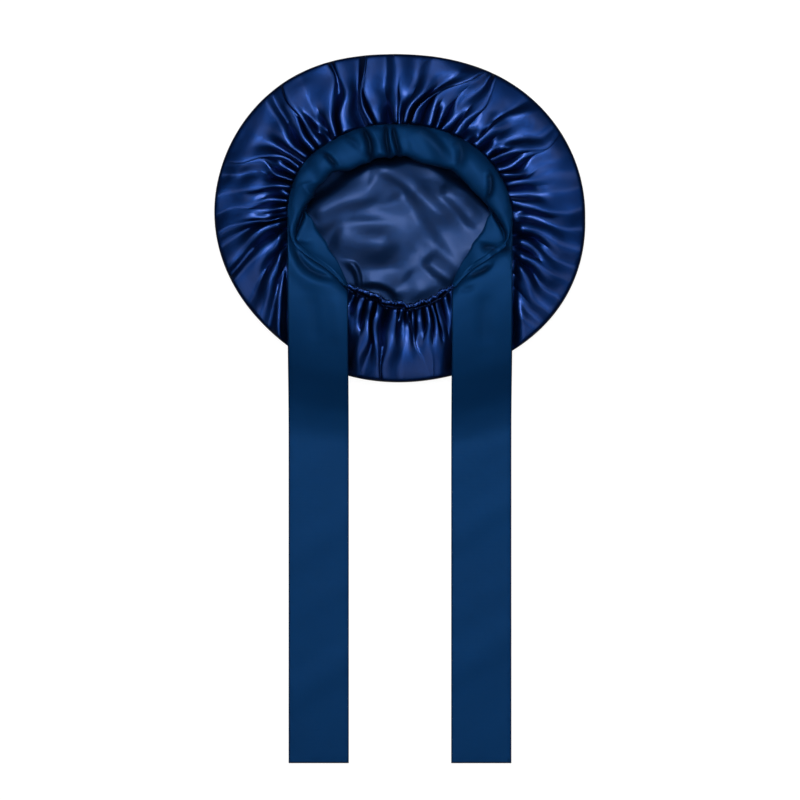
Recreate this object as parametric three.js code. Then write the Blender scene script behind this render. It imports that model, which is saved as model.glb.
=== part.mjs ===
// A satin sleep bonnet with wide ties, lying open side up, in millimetres.
// The crown's closed side rests on the surface z = 0, and its middle is the origin.
// +Y points to the forehead side of the opening, -Y to the nape and the ends of the ties.
import * as THREE from "three";

// The crown: a round of satin gathered into the head opening
const CROWN_HALF_WIDTH = 175.5;
const CROWN_HALF_DEPTH = 156.5;
const SATIN = 1.2;
const EDGE_HEIGHT = 19; // where the bag is widest
const EDGE_INSET = 30; // from the widest place in to where the cloth leaves the surface
const PUFF_HEIGHT = 47;
const PRESSED = 3.5; // how far a tie's weight lowers the gathers
const CROWDING = 0.42; // the most that a fold rises for each millimetre between its neighbours
const SHOULDER = 0.17; // from a crest to its shoulder, as a share of the way to the next crest
const RIM_DIP = 0.11; // share of the way out over which the gathers dive to their seam

// The head opening: squarish at the forehead, pulled flat by the ties at both sides of the nape
const OPENING_HALF_WIDTH = 105;
const OPENING_FRONT = 88;
const OPENING_NAPE = 90;
const FRONT_SQUARENESS = 2.25; // 2 is an ellipse
const FRONT_RIM_HEIGHT = 38;
const NAPE_RIM_HEIGHT = 34;

// The matte tape: the band round the opening and its two free ends
const TAPE = 1.8;
const TAPE_WIDTH = 57;
const TIE_MIDDLE = 77; // from the bonnet's middle line
const TIE_END = -515;
const TIE_START = 2.6; // outside the opening's edge, where the tape has turned over it
const TIE_START_HEIGHT = 4.8; // of its upper face over the satin's edge
const TIE_RISE = 5; // how soon it climbs onto the gathers
const BAND_REACH = 142; // degrees from the forehead to where the elastic starts
const BAND_STATIONS = 64;

// The elastic casing at the nape
const CASING_REACH = 37.4; // degrees either side of the nape
const CASING_WIDTH = 7.5;
const CASING_THICK = 4.4;
const CASING_INSET = 4.3; // from the satin's edge in to its middle
const CASING_LIFT = 2.2; // its middle over the satin's edge
const RUFFLES = 22;
const RUFFLE_DEPTH = 0.8;

const rad = (degrees) => (degrees * Math.PI) / 180;
const deg = (radians) => (((radians * 180) / Math.PI) % 360 + 360) % 360;
const mix = (a, b, share) => a + (b - a) * share;
const clamp = (x) => Math.min(1, Math.max(0, x));
const bell = (x, width) => Math.exp(-((x / width) ** 2));
const smooth = (from, to, x) => {
  const s = clamp((x - from) / (to - from));
  return s * s * (3 - 2 * s);
};
const series = (count) => Array.from({ length: count }, (_, i) => i);
const at = (theta, radius, z) => new THREE.Vector3(radius * Math.cos(theta), radius * Math.sin(theta), z);
const oval = (theta, a, b, power = 2) =>
  (Math.abs(Math.cos(theta) / a) ** power + Math.abs(Math.sin(theta) / b) ** power) ** (-1 / power);

// Reads a value between the rows of a table, which go up by their column "at", on a smooth curve.
function between(table, read, place) {
  const last = table.length - 1;
  if (place <= table[0].at) return read(table[0]);
  if (place >= table[last].at) return read(table[last]);
  const slope = (row) => {
    const [a, b] = [table[Math.max(0, row - 1)], table[Math.min(last, row + 1)]];
    return (read(b) - read(a)) / (b.at - a.at);
  };
  const next = table.findIndex((row) => row.at > place);
  const step = table[next].at - table[next - 1].at;
  const s = (place - table[next - 1].at) / step;
  const bend = s * (1 - s) * step * (slope(next - 1) * (1 - s) - slope(next) * s);
  return mix(read(table[next - 1]), read(table[next]), s * s * (3 - 2 * s)) + bend;
}

// How far the crown's outline swells past its oval, by degrees from +X
const OUTLINE = [
  { at: 0, swell: -1 },
  { at: 45, swell: 1.5 },
  { at: 90, swell: -2 },
  { at: 130, swell: 4.5 },
  { at: 170, swell: 0.5 },
  { at: 215, swell: -4.5 },
  { at: 250, swell: -2 },
  { at: 290, swell: -2 },
  { at: 330, swell: 1.5 },
  { at: 360, swell: -1 },
];

// How far the ties pull the opening's edge in, by degrees from the nape
const PULL = [
  { at: 0, inward: 0 },
  { at: 25, inward: 5 },
  { at: 45, inward: 14 },
  { at: 58, inward: 14 },
  { at: 78, inward: 0.5 },
  { at: 90, inward: 0 },
];

// The gathers, counterclockwise: each crest's degrees at the rim, midway and at the outline,
// its height, and the share of the way out that it reaches
const FOLDS = [
  { rim: 1.5, midway: -1.5, outline: -3.5, height: 4, reach: 0.5 },
  { rim: 8.5, midway: 3, outline: 2.5, height: 8, reach: 1 },
  { rim: 17, midway: 15, outline: 15, height: 6, reach: 0.9 },
  { rim: 24, midway: 22.5, outline: 21, height: 6, reach: 0.6 },
  { rim: 32, midway: 29, outline: 26, height: 9, reach: 1 },
  { rim: 43.5, midway: 43, outline: 39.5, height: 8, reach: 1 },
  { rim: 50, midway: 50, outline: 52, height: 7, reach: 0.9 },
  { rim: 57, midway: 56.5, outline: 57, height: 7, reach: 0.6 },
  { rim: 64.5, midway: 64, outline: 62, height: 5, reach: 0.55 },
  { rim: 72, midway: 72, outline: 67, height: 8, reach: 0.95 },
  { rim: 82, midway: 77, outline: 73, height: 5, reach: 0.5 },
  { rim: 87, midway: 82, outline: 79, height: 8, reach: 0.95 },
  { rim: 92, midway: 90.5, outline: 87.5, height: 7, reach: 1 },
  { rim: 105, midway: 106, outline: 102, height: 7, reach: 0.9 },
  { rim: 123, midway: 115, outline: 112.5, height: 8, reach: 0.95 },
  { rim: 129, midway: 121, outline: 118, height: 7, reach: 0.7 },
  { rim: 138, midway: 134.5, outline: 132, height: 9, reach: 1 },
  { rim: 147, midway: 144, outline: 140, height: 8, reach: 0.85 },
  { rim: 155, midway: 155, outline: 160.5, height: 9, reach: 1 },
  { rim: 165, midway: 168, outline: 172, height: 7, reach: 0.95 },
  { rim: 176, midway: 180.5, outline: 184.5, height: 7, reach: 0.95 },
  { rim: 182.5, midway: 188, outline: 193, height: 8, reach: 0.95 },
  { rim: 188.5, midway: 195, outline: 201, height: 6, reach: 0.6 },
  { rim: 195, midway: 203, outline: 211, height: 9, reach: 0.9 },
  { rim: 203, midway: 211, outline: 219, height: 8, reach: 0.9 },
  { rim: 212, midway: 219, outline: 226, height: 6, reach: 0.8 },
  { rim: 221, midway: 226, outline: 232.5, height: 6, reach: 0.8 },
  { rim: 230, midway: 234, outline: 239, height: 6, reach: 0.8 },
  { rim: 238, midway: 241, outline: 245, height: 6, reach: 0.8 },
  { rim: 244.5, midway: 247.5, outline: 250, height: 8, reach: 0.5 },
  { rim: 250.5, midway: 254, outline: 255.5, height: 7, reach: 0.9 },
  { rim: 257, midway: 259.5, outline: 261, height: 8, reach: 1 },
  { rim: 267, midway: 267, outline: 267, height: 7, reach: 0.8 },
  { rim: 279, midway: 277.5, outline: 277.5, height: 6, reach: 0.7 },
  { rim: 286, midway: 284, outline: 283, height: 8, reach: 0.95 },
  { rim: 292, midway: 289.5, outline: 288, height: 6, reach: 0.8 },
  { rim: 299, midway: 296, outline: 293.5, height: 7, reach: 0.6 },
  { rim: 307, midway: 303, outline: 299.5, height: 6, reach: 0.8 },
  { rim: 316, midway: 311, outline: 306, height: 6, reach: 0.8 },
  { rim: 325, midway: 319, outline: 313, height: 6, reach: 0.8 },
  { rim: 332, midway: 326, outline: 320, height: 7, reach: 0.85 },
  { rim: 338.5, midway: 333, outline: 327.5, height: 8, reach: 0.95 },
  { rim: 345, midway: 341.5, outline: 338, height: 9, reach: 1 },
  { rim: 354, midway: 351, outline: 348, height: 8, reach: 0.95 },
];

// Loose folds of the closed side, seen through the opening: each a ridge between two points
const INNER_FOLDS = [
  { x1: -26, y1: 47, x2: 16, y2: 26, width: 9, height: 6 },
  { x1: 16, y1: 26, x2: 56, y2: -46, width: 9, height: 7 },
  { x1: 42, y1: 34, x2: 76, y2: -20, width: 10, height: 6 },
  { x1: -82, y1: 4, x2: -24, y2: 25, width: 10, height: 7 },
  { x1: -56, y1: -42, x2: -38, y2: -68, width: 8, height: 7 },
  { x1: -32, y1: -60, x2: 8, y2: -62, width: 8, height: 7 },
  { x1: -66, y1: -12, x2: -34, y2: -32, width: 12, height: 5 },
];

// The closed side's rings of corners, from its middle out
const CLOSED_ROWS = [
  { radius: 15, corners: 12 },
  { radius: 34, corners: 24 },
  { radius: 52, corners: 36 },
  { radius: 70, corners: 54 },
  { radius: 92, corners: 54 },
  { radius: 118, corners: 54 },
];
const SIDE_ROWS = [90, 58, 28]; // degrees round the lower quarter of the bag's edge
const TOP_ROWS = [1, 0.96, 0.86, 0.72, 0.56, 0.4, 0.26, 0.15, 0.07, 0]; // shares of the way from rim to outline

// The band's sections, by degrees from the forehead. Each point is how far it lies into the opening from the
// satin's edge, and its height over that edge.
const BAND = [
  { at: 0, seam: [-1, 2.4], back: [8, 9], top: [18, 12], brow: [27, 10.5], lip: [31, 4], tuck: [29, -6], hem: [22, -13] },
  { at: 50, seam: [-1, 2.4], back: [8, 9], top: [17, 12], brow: [26, 10.5], lip: [30, 4], tuck: [28, -6], hem: [21, -13] },
  { at: 68, seam: [-1, 2.4], back: [6, 8], top: [13, 10.5], brow: [20, 9], lip: [24, 3], tuck: [23.5, -6], hem: [19, -14] },
  { at: 78, seam: [-1, 2.4], back: [5, 7], top: [10, 9], brow: [16, 7.5], lip: [19, 2], tuck: [20, -7], hem: [18, -15] },
  { at: 84, seam: [-1, 2.4], back: [3.5, 6], top: [8, 8], brow: [13, 6.8], lip: [16.5, 1.5], tuck: [18.5, -8], hem: [19, -15.5] },
  { at: 90, seam: [-1, 2.4], back: [2.5, 5], top: [6, 6.5], brow: [10, 5.5], lip: [13, 1], tuck: [18, -9], hem: [22, -16] },
  { at: 96, seam: [-1, 2.4], back: [1, 4], top: [3, 5], brow: [6, 4], lip: [9, 0], tuck: [18, -9], hem: [25.5, -16.5] },
  { at: 103, seam: [-1, 2.4], back: [0, 3.2], top: [0.9, 3.6], brow: [2, 3], lip: [5, 0], tuck: [17, -9], hem: [28, -17] },
  { at: 109, seam: [-1, 2.4], back: [0, 3.2], top: [0.9, 3.6], brow: [2, 3], lip: [5, 0], tuck: [15, -9], hem: [25.5, -17] },
  { at: 115, seam: [-1, 2.4], back: [0, 3.2], top: [0.9, 3.6], brow: [2, 3], lip: [4.5, 0], tuck: [11, -7], hem: [19.5, -15] },
  { at: 126, seam: [-1, 2.4], back: [0, 3.2], top: [0.9, 3.6], brow: [2, 3], lip: [4, 0], tuck: [8, -5.5], hem: [12.5, -11] },
  { at: 134, seam: [-1, 2.4], back: [0, 3.2], top: [0.9, 3.6], brow: [2, 3], lip: [3.5, 1], tuck: [6, -3], hem: [8.5, -7] },
  { at: 142, seam: [-1, 2.4], back: [0, 3.2], top: [0.9, 3.6], brow: [1.8, 3.2], lip: [2.8, 2], tuck: [3.8, 0.5], hem: [5, -1.5] },
];

// Puckers across the band, by degrees from +X
const PUCKERS = [
  { at: 17.7, depth: 1.5 },
  { at: 51.6, depth: 1.5 },
  { at: 96.5, depth: 2 },
  { at: 111.7, depth: 2.5 },
  { at: 133.5, depth: 2 },
  { at: 142, depth: 2.5 },
  { at: 153, depth: 2.5 },
];
const PUCKER_WIDTH = 3.5;

// A tie's upper face over the surface, by how far it has run towards the nape side
const TIE_PATH = [
  { at: 10, height: 46.5 },
  { at: 60, height: 47 },
  { at: 100, height: 46 },
  { at: 122, height: 42 },
  { at: 140, height: 33 },
  { at: 158, height: 18 },
  { at: 178, height: 6 },
  { at: 205, height: TAPE },
];
const TIE_ROWS = [0, 2, 5, 10, 18, 30, 45, 60, 72, 84, 94, 104, 114, 124, 134, 145, 158, 175, 230, 320, 420];
const TIE_COLUMNS = [0, 0.06, 0.18, 0.42, 0.72, 1]; // shares of the width, from the outer edge

function outlineRadius(theta) {
  return oval(theta, CROWN_HALF_WIDTH, CROWN_HALF_DEPTH) + between(OUTLINE, (row) => row.swell, deg(theta));
}

function rimRadius(theta) {
  if (Math.sin(theta) > 0) return oval(theta, OPENING_HALF_WIDTH, OPENING_FRONT, FRONT_SQUARENESS);
  const pull = between(PULL, (row) => row.inward, Math.abs(deg(theta) - 270));
  return oval(theta, OPENING_HALF_WIDTH, OPENING_NAPE) - pull;
}

const rimHeight = (theta) => mix(NAPE_RIM_HEIGHT, FRONT_RIM_HEIGHT, smooth(-1, 0.1, Math.sin(theta)));

// A corner beside the opening's edge: so far into the opening, and so far over the satin's edge
const beside = (theta, inward, over) => at(theta, rimRadius(theta) - inward, rimHeight(theta) + over);

// 1 where a tie presses the gathers flat, 0 where they are free
function underTie(x, y) {
  const off = Math.abs(Math.abs(x) - TIE_MIDDLE) - TAPE_WIDTH / 2;
  return (1 - smooth(8, 22, off)) * (1 - smooth(-8, 12, y));
}

// Height of the gathered side without its folds
function puffHeight(theta, out) {
  const arch = EDGE_HEIGHT + (PUFF_HEIGHT - EDGE_HEIGHT) * Math.sqrt(1 - out ** 3);
  return arch - (PUFF_HEIGHT - rimHeight(theta)) * Math.exp(-((out / RIM_DIP) ** 1.5));
}

function crestAngle(fold, out) {
  const nearRim = mix(fold.rim, fold.midway, smooth(0, 0.5, out));
  return rad(nearRim + (fold.outline - fold.midway) * smooth(0.35, 1, out));
}

// A fold starts at the seam and fades towards the bag's smooth edge.
const foldHeight = (fold, out) =>
  fold.height * smooth(0, 0.13, out) * (1 - 0.92 * smooth(fold.reach * 0.55, fold.reach * 1.05, out));

// Three corners a fold, so that its crest is round: the valley before it and the crest's two shoulders
function gatherCorners(out) {
  const count = FOLDS.length;
  const fold = (i) => FOLDS[(i + count) % count];
  const crest = (i) => crestAngle(fold(i), out) + 2 * Math.PI * Math.floor(i / count);
  const height = (i) => {
    const radius = mix(rimRadius(crest(i)), outlineRadius(crest(i)), out);
    const room = (radius * (crest(i + 1) - crest(i - 1))) / 2;
    return Math.min(foldHeight(fold(i), out), CROWDING * room);
  };
  return FOLDS.flatMap((_, i) => [
    { theta: (crest(i - 1) + crest(i)) / 2, lift: -0.25 * (height(i) + height(i - 1)) },
    { theta: mix(crest(i), crest(i - 1), SHOULDER), lift: 0.5 * height(i) },
    { theta: mix(crest(i), crest(i + 1), SHOULDER), lift: 0.5 * height(i) },
  ]);
}

// Height of the closed side over the surface that it lies on
function innerFoldHeight({ x, y }) {
  let height = 0;
  for (const fold of INNER_FOLDS) {
    const [dx, dy] = [fold.x2 - fold.x1, fold.y2 - fold.y1];
    const along = clamp(((x - fold.x1) * dx + (y - fold.y1) * dy) / (dx * dx + dy * dy));
    const away = Math.hypot(x - fold.x1 - along * dx, y - fold.y1 - along * dy);
    height = Math.max(height, fold.height * bell(away, fold.width) - 1);
  }
  return height;
}

function closedRing({ radius, corners }) {
  return series(corners).map((i) => {
    const theta = (2 * Math.PI * i) / corners;
    const corner = at(theta, (radius * outlineRadius(theta)) / CROWN_HALF_WIDTH, 0);
    corner.z = innerFoldHeight(corner);
    return corner;
  });
}

function sideRing(degrees) {
  const inset = EDGE_INSET * (1 - Math.cos(rad(degrees)));
  const height = EDGE_HEIGHT * (1 - Math.sin(rad(degrees)));
  return gatherCorners(1).map(({ theta }) => at(theta, outlineRadius(theta) - inset, height));
}

function topRing(out) {
  return gatherCorners(out).map(({ theta, lift }) => {
    const corner = at(theta, mix(rimRadius(theta), outlineRadius(theta), out), puffHeight(theta, out));
    const pressed = underTie(corner.x, corner.y);
    corner.z += lift * (1 - 0.85 * pressed) - PRESSED * pressed * smooth(0, 0.2, out);
    return corner;
  });
}

// Triangles between two closed rings of as many corners, cut along the shorter diagonals
function ladder(inner, outer, points) {
  return inner.flatMap((p, i) => {
    const [q, next, far] = [outer[i], inner[(i + 1) % inner.length], outer[(i + 1) % outer.length]];
    const alongFold = points[p].distanceTo(points[far]) < points[q].distanceTo(points[next]);
    return alongFold ? [[p, far, q], [p, next, far]] : [[p, next, q], [q, next, far]];
  });
}

// Triangles between two closed rings of different numbers of corners, in the order of their angles
function zip(inner, outer, points) {
  const unrolled = (ring) => {
    const angles = ring.map((corner) => Math.atan2(points[corner].y, points[corner].x));
    for (let i = 1; i < angles.length; i++) while (angles[i] < angles[i - 1]) angles[i] += 2 * Math.PI;
    return [...angles, angles[0] + 2 * Math.PI];
  };
  const [a, b] = [unrolled(inner), unrolled(outer)];
  const faces = [];
  let [i, j] = [0, 0];
  while (i < inner.length || j < outer.length) {
    const innerNext = j === outer.length || (i < inner.length && a[i] + a[i + 1] < b[j] + b[j + 1]);
    const [p, q] = [inner[i % inner.length], outer[j % outer.length]];
    if (innerNext) faces.push([p, inner[++i % inner.length], q]);
    else faces.push([p, outer[++j % outer.length], q]);
  }
  return faces;
}

const fan = (middle, ring) => ring.map((corner, i) => [middle, ring[(i + 1) % ring.length], corner]);

// Triangles of a sheet of corners, numbered row after row
function sheetFaces(rows, columns) {
  return series(rows - 1).flatMap((r) =>
    series(columns - 1).flatMap((c) => {
      const corner = r * columns + c;
      return [
        [corner, corner + 1, corner + columns + 1],
        [corner, corner + columns + 1, corner + columns],
      ];
    }),
  );
}

function meshFrom(points, faces) {
  const geometry = new THREE.BufferGeometry().setFromPoints(points);
  geometry.setIndex(faces.flat());
  geometry.computeVertexNormals();
  return geometry;
}

// A wall of cloth from its outer face: the inner face lies one thickness behind it, and the edges are closed.
function clothWall(points, faces, thickness) {
  const normals = points.map(() => new THREE.Vector3());
  for (const corners of faces) {
    const [a, b, c] = corners.map((corner) => points[corner]);
    const normal = b.clone().sub(a).cross(c.clone().sub(a));
    for (const corner of corners) normals[corner].add(normal);
  }
  const back = points.map((point, i) => point.clone().addScaledVector(normals[i].normalize(), -thickness));
  const count = points.length;
  const walls = [...faces, ...faces.map(([a, b, c]) => [a + count, c + count, b + count])];
  const sides = new Set(faces.flatMap(([a, b, c]) => [`${a} ${b}`, `${b} ${c}`, `${c} ${a}`]));
  for (const side of sides) {
    const [a, b] = side.split(" ").map(Number);
    if (!sides.has(`${b} ${a}`)) walls.push([b, a, a + count], [b, a + count, b + count]);
  }
  return meshFrom([...points, ...back], walls);
}

function crownGeometry() {
  const rings = [[at(0, 0, 0)], ...CLOSED_ROWS.map(closedRing), ...SIDE_ROWS.map(sideRing), ...TOP_ROWS.map(topRing)];
  const points = rings.flat();
  let count = 0;
  const numbered = rings.map((ring) => ring.map(() => count++));
  const faces = fan(0, numbered[1]);
  for (let i = 1; i + 1 < numbered.length; i++) {
    const join = numbered[i].length === numbered[i + 1].length ? ladder : zip;
    faces.push(...join(numbered[i], numbered[i + 1], points));
  }
  return clothWall(points, faces, SATIN);
}

function bandGeometry() {
  const names = Object.keys(BAND[0]).slice(1);
  const points = series(BAND_STATIONS + 1).flatMap((i) => {
    const fromForehead = BAND_REACH * ((2 * i) / BAND_STATIONS - 1);
    const theta = rad(90 + fromForehead);
    const pucker = PUCKERS.reduce((sum, row) => sum + row.depth * bell(90 + fromForehead - row.at, PUCKER_WIDTH), 0);
    return names.map((name) => {
      const inward = between(BAND, (row) => row[name][0], Math.abs(fromForehead));
      const over = between(BAND, (row) => row[name][1], Math.abs(fromForehead));
      const pulled = name === "back" || name === "top" ? pucker : 0;
      return beside(theta, inward, over - pulled);
    });
  });
  return clothWall(points, sheetFaces(BAND_STATIONS + 1, names.length), TAPE);
}

// The angle at which a tie starts beside the opening's edge, at a distance from the middle line
function tieStart(x) {
  let [side, nape] = [180, 270];
  while (nape - side > 0.01) {
    const middle = (side + nape) / 2;
    const reach = -(rimRadius(rad(middle)) + TIE_START) * Math.cos(rad(middle));
    if (reach > x) side = middle;
    else nape = middle;
  }
  return rad(side);
}

// The crown's edge falls away sooner under a tie's outer side, so that side comes down first.
function pathHeight(x, run) {
  const edge = (across) => CROWN_HALF_DEPTH * Math.sqrt(1 - (across / CROWN_HALF_WIDTH) ** 2);
  const sooner = 0.5 * (edge(TIE_MIDDLE) - edge(x));
  return between(TIE_PATH, (row) => row.height, run + sooner * smooth(60, 110, run));
}

function tieGeometry(side) {
  const last = TIE_ROWS.length - 1;
  const points = TIE_ROWS.flatMap((row, r) =>
    TIE_COLUMNS.map((share) => {
      const x = TIE_MIDDLE + TAPE_WIDTH * (0.5 - share);
      const theta = tieStart(x);
      const start = -(rimRadius(theta) + TIE_START) * Math.sin(theta);
      const run = mix(start, -TIE_END, row / TIE_ROWS[last]);
      const climbed = 1 - Math.exp((start - run) / TIE_RISE);
      const height = mix(rimHeight(theta) + TIE_START_HEIGHT, pathHeight(x, run), climbed);
      return new THREE.Vector3(side * x, -run, height);
    }),
  );
  const faces = sheetFaces(TIE_ROWS.length, TIE_COLUMNS.length);
  return clothWall(points, side < 0 ? faces.map(([a, b, c]) => [a, c, b]) : faces, TAPE);
}

function casingGeometry() {
  const around = 6;
  const stations = RUFFLES * 4 + 1;
  const points = series(stations).flatMap((i) => {
    const share = i / (stations - 1);
    const theta = rad(270 + CASING_REACH * (2 * share - 1));
    const wave = RUFFLE_DEPTH * Math.cos(2 * Math.PI * RUFFLES * share);
    return series(around).map((corner) => {
      const turn = (2 * Math.PI * corner) / around;
      const inward = CASING_INSET + (CASING_WIDTH / 2 + wave) * Math.cos(turn);
      const over = CASING_LIFT + (CASING_THICK / 2) * Math.sin(turn) + wave * clamp(Math.sin(turn));
      return beside(theta, inward, over);
    });
  });
  const faces = series(stations - 1).flatMap((r) =>
    series(around).flatMap((c) => {
      const [a, b] = [r * around + c, r * around + ((c + 1) % around)];
      return [
        [a, b, b + around],
        [a, b + around, a + around],
      ];
    }),
  );
  const end = (stations - 1) * around;
  for (let c = 1; c + 1 < around; c++) faces.push([0, c + 1, c], [end, end + c, end + c + 1]);
  return meshFrom(points, faces);
}

const satin = new THREE.MeshStandardMaterial({ color: 0x14296b, roughness: 0.35, metalness: 0 });
const tape = new THREE.MeshStandardMaterial({ color: 0x0f3a68, roughness: 0.85, metalness: 0 });

function piece(name, geometry, material) {
  const mesh = new THREE.Mesh(geometry, material);
  mesh.name = name;
  return mesh;
}

const bonnet = new THREE.Group();
bonnet.add(
  piece("crown", crownGeometry(), satin),
  piece("front_band", bandGeometry(), tape),
  piece("left_tie", tieGeometry(-1), tape),
  piece("right_tie", tieGeometry(1), tape),
  piece("nape_casing", casingGeometry(), satin),
);
export default bonnet;
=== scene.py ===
# %% [markdown]
# # A satin sleep bonnet with wide ties
# The bonnet lies on its closed side with the opening up, as in a studio photo from straight above.
# Its solids are already packed as a fixed frame. Here each solid is replaced by real-looking cloth:
# a gathered satin crown, a folded matte band, two flat ties and a ruffled elastic casing. Lengths
# are in millimetres until a mesh is made.

import math

import bpy
import numpy as np
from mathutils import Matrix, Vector


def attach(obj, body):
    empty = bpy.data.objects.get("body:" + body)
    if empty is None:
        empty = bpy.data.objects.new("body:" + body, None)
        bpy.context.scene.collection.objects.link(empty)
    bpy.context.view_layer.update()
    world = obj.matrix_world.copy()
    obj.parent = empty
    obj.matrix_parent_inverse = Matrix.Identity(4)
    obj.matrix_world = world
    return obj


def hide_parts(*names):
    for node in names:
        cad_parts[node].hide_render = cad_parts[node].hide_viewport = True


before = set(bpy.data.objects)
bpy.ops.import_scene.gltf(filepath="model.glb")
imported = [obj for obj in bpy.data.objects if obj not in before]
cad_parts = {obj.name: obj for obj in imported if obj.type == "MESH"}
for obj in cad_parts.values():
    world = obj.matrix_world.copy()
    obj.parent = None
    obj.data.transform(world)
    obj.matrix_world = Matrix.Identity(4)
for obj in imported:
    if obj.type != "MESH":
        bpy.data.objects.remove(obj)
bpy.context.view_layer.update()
MM = 0.001
print("solids:", sorted(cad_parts))

# %% [markdown]
# ## Camera
# The photo is a flat lay: the camera hangs straight above the object and looks down. A long lens
# from four metres keeps the sides of the crown from spreading out, as a copy stand does.

# %% Camera straight above
CAMERA_HEIGHT = 4.0
CAMERA_Y = -0.17108  # the photo's middle, between crown and ties
LENS = 190
SEEN_HEIGHT = 0.03  # about how high the cloth lies that the camera sees

camera_data = bpy.data.cameras.new("copy_stand")
camera_data.lens = LENS
camera = bpy.data.objects.new("copy_stand", camera_data)
camera.location = (0, CAMERA_Y, CAMERA_HEIGHT)
bpy.context.scene.collection.objects.link(camera)
bpy.context.scene.camera = camera
seen_width = camera_data.sensor_width / LENS * (CAMERA_HEIGHT - SEEN_HEIGHT)
print("field of view in mm:", round(seen_width / MM))

# %% [markdown]
# ## Lights
# Satin is mostly a mirror for its lights, so the lights make the picture. One small softbox hangs
# close over the crown: the crests of the folds face it and shine, their steep sides mirror the dark
# room, and the ties' far ends get less of it. Four weak, wide softboxes farther up fill the slopes.

# %% Softboxes
SOFTBOXES = [
    # name, place in metres, width and length in metres, watts
    ("softbox_top", (0.0, 0.2, 1.6), (0.58, 0.58), 20.8),
    ("softbox_north", (0.0, 2.2, 3.5), (2.6, 1.2), 31),
    ("softbox_south", (0.0, -2.2, 3.5), (2.6, 1.2), 19),
    ("softbox_west", (-2.2, 0.0, 3.5), (1.2, 2.6), 24),
    ("softbox_east", (2.2, 0.0, 3.5), (1.2, 2.6), 21),
]
LIGHT_TARGET = Vector((0, 0, 0))
ROOM_LIGHT = 0.006
ROOM_COLOUR = (0.9, 0.95, 1, 1)


def add_softbox(name, place, size, watts):
    data = bpy.data.lights.new(name, "AREA")
    data.shape = "RECTANGLE"
    data.size, data.size_y = size
    data.energy = watts
    lamp = bpy.data.objects.new(name, data)
    lamp.location = place
    lamp.rotation_euler = (LIGHT_TARGET - Vector(place)).to_track_quat("-Z", "Y").to_euler()
    bpy.context.scene.collection.objects.link(lamp)


for row in SOFTBOXES:
    add_softbox(*row)

room = bpy.data.worlds.new("room")
room.use_nodes = True
background = room.node_tree.nodes["Background"]
background.inputs["Strength"].default_value = ROOM_LIGHT
background.inputs["Color"].default_value = ROOM_COLOUR
bpy.context.scene.world = room
bpy.context.scene.view_settings.view_transform = "Standard"
print("softboxes:", len(SOFTBOXES))

# %% [markdown]
# ## Curves and tables
# Every cloth surface here is a grid of corners that follows a formula. These small helpers blend
# numbers smoothly and read short tables, so that one row says where a shape changes and by how
# much.

# %% Helpers for smooth numbers
def smooth(start, end, x):
    s = np.clip((x - start) / (end - start), 0, 1)
    return s * s * (3 - 2 * s)


def mix(a, b, share):
    return a + (b - a) * share


def bell(x, width):
    return np.exp(-((x / width) ** 2))


def oval(theta, a, b, power=2):
    across = np.abs(np.cos(theta) / a) ** power
    along = np.abs(np.sin(theta) / b) ** power
    return (across + along) ** (-1 / power)


def read_table(table, place):
    """Values of a table at places between its rows (place, value, ...), on a smooth curve."""
    table = np.asarray(table, float)
    places, values = table[:, 0], table[:, 1:]
    before = np.maximum(np.arange(len(places)) - 1, 0)
    after = np.minimum(np.arange(len(places)) + 1, len(places) - 1)
    slopes = (values[after] - values[before]) / (places[after] - places[before])[:, None]
    place = np.clip(np.asarray(place, float), places[0], places[-1])
    low = np.clip(np.searchsorted(places, place, "right") - 1, 0, len(places) - 2)
    step = (places[low + 1] - places[low])[..., None]
    s = ((place - places[low])[..., None]) / step
    bend = s * (1 - s) * step * (slopes[low] * (1 - s) - slopes[low + 1] * s)
    value = mix(values[low], values[low + 1], s * s * (3 - 2 * s)) + bend
    return value[..., 0] if values.shape[1] == 1 else value


def wander(x, seed, waves=7):
    """A smooth line of random waves about 1 high, with one wave or less in each unit of x."""
    random = np.random.default_rng(seed)
    total = np.zeros_like(np.asarray(x, float))
    for _ in range(waves):
        often, start = random.uniform(0.25, 1), random.uniform()
        total += np.sin(2 * np.pi * (often * x + start)) / math.sqrt(waves / 2)
    return total


print("helpers ready; oval at 45 degrees:", round(float(oval(math.pi / 4, 175.5, 156.5)), 1), "mm")

# %% [markdown]
# ## Meshes from grids
# A grid of corners in rows becomes quads between neighbouring rows. Cloth has two faces and a
# thickness, and Blender's Solidify modifier gives both: the outer face keeps the first material and
# the inner face gets the next.

# %% Helpers that turn grids into pieces
def grid_quads(rows, columns, closed=False):
    """Quads of a grid numbered row after row; closed joins the last column to the first."""
    across = columns if closed else columns - 1
    row, column = np.meshgrid(np.arange(rows - 1), np.arange(across), indexing="ij")
    here = row * columns + column
    aside = row * columns + (column + 1) % columns
    return np.stack([here, aside, aside + columns, here + columns], -1).reshape(-1, 4)


def make_piece(name, corners, faces, materials):
    mesh = bpy.data.meshes.new(name)
    mesh.from_pydata((np.asarray(corners) * MM).tolist(), [], [list(map(int, face)) for face in faces])
    mesh.validate()
    for material in materials:
        mesh.materials.append(material)
    mesh.polygons.foreach_set("use_smooth", [True] * len(mesh.polygons))
    piece = bpy.data.objects.new(name, mesh)
    bpy.context.scene.collection.objects.link(piece)
    return piece


def apply_modifiers(piece):
    shown = piece.evaluated_get(bpy.context.evaluated_depsgraph_get())
    mesh = bpy.data.meshes.new_from_object(shown)
    piece.modifiers.clear()
    piece.data = mesh


def thicken(piece, thickness, inner_material=0):
    """Gives a sheet its thickness on the side behind its faces."""
    wall = piece.modifiers.new("cloth", "SOLIDIFY")
    wall.thickness = thickness * MM
    wall.offset = -1
    wall.material_offset = inner_material
    apply_modifiers(piece)


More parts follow.
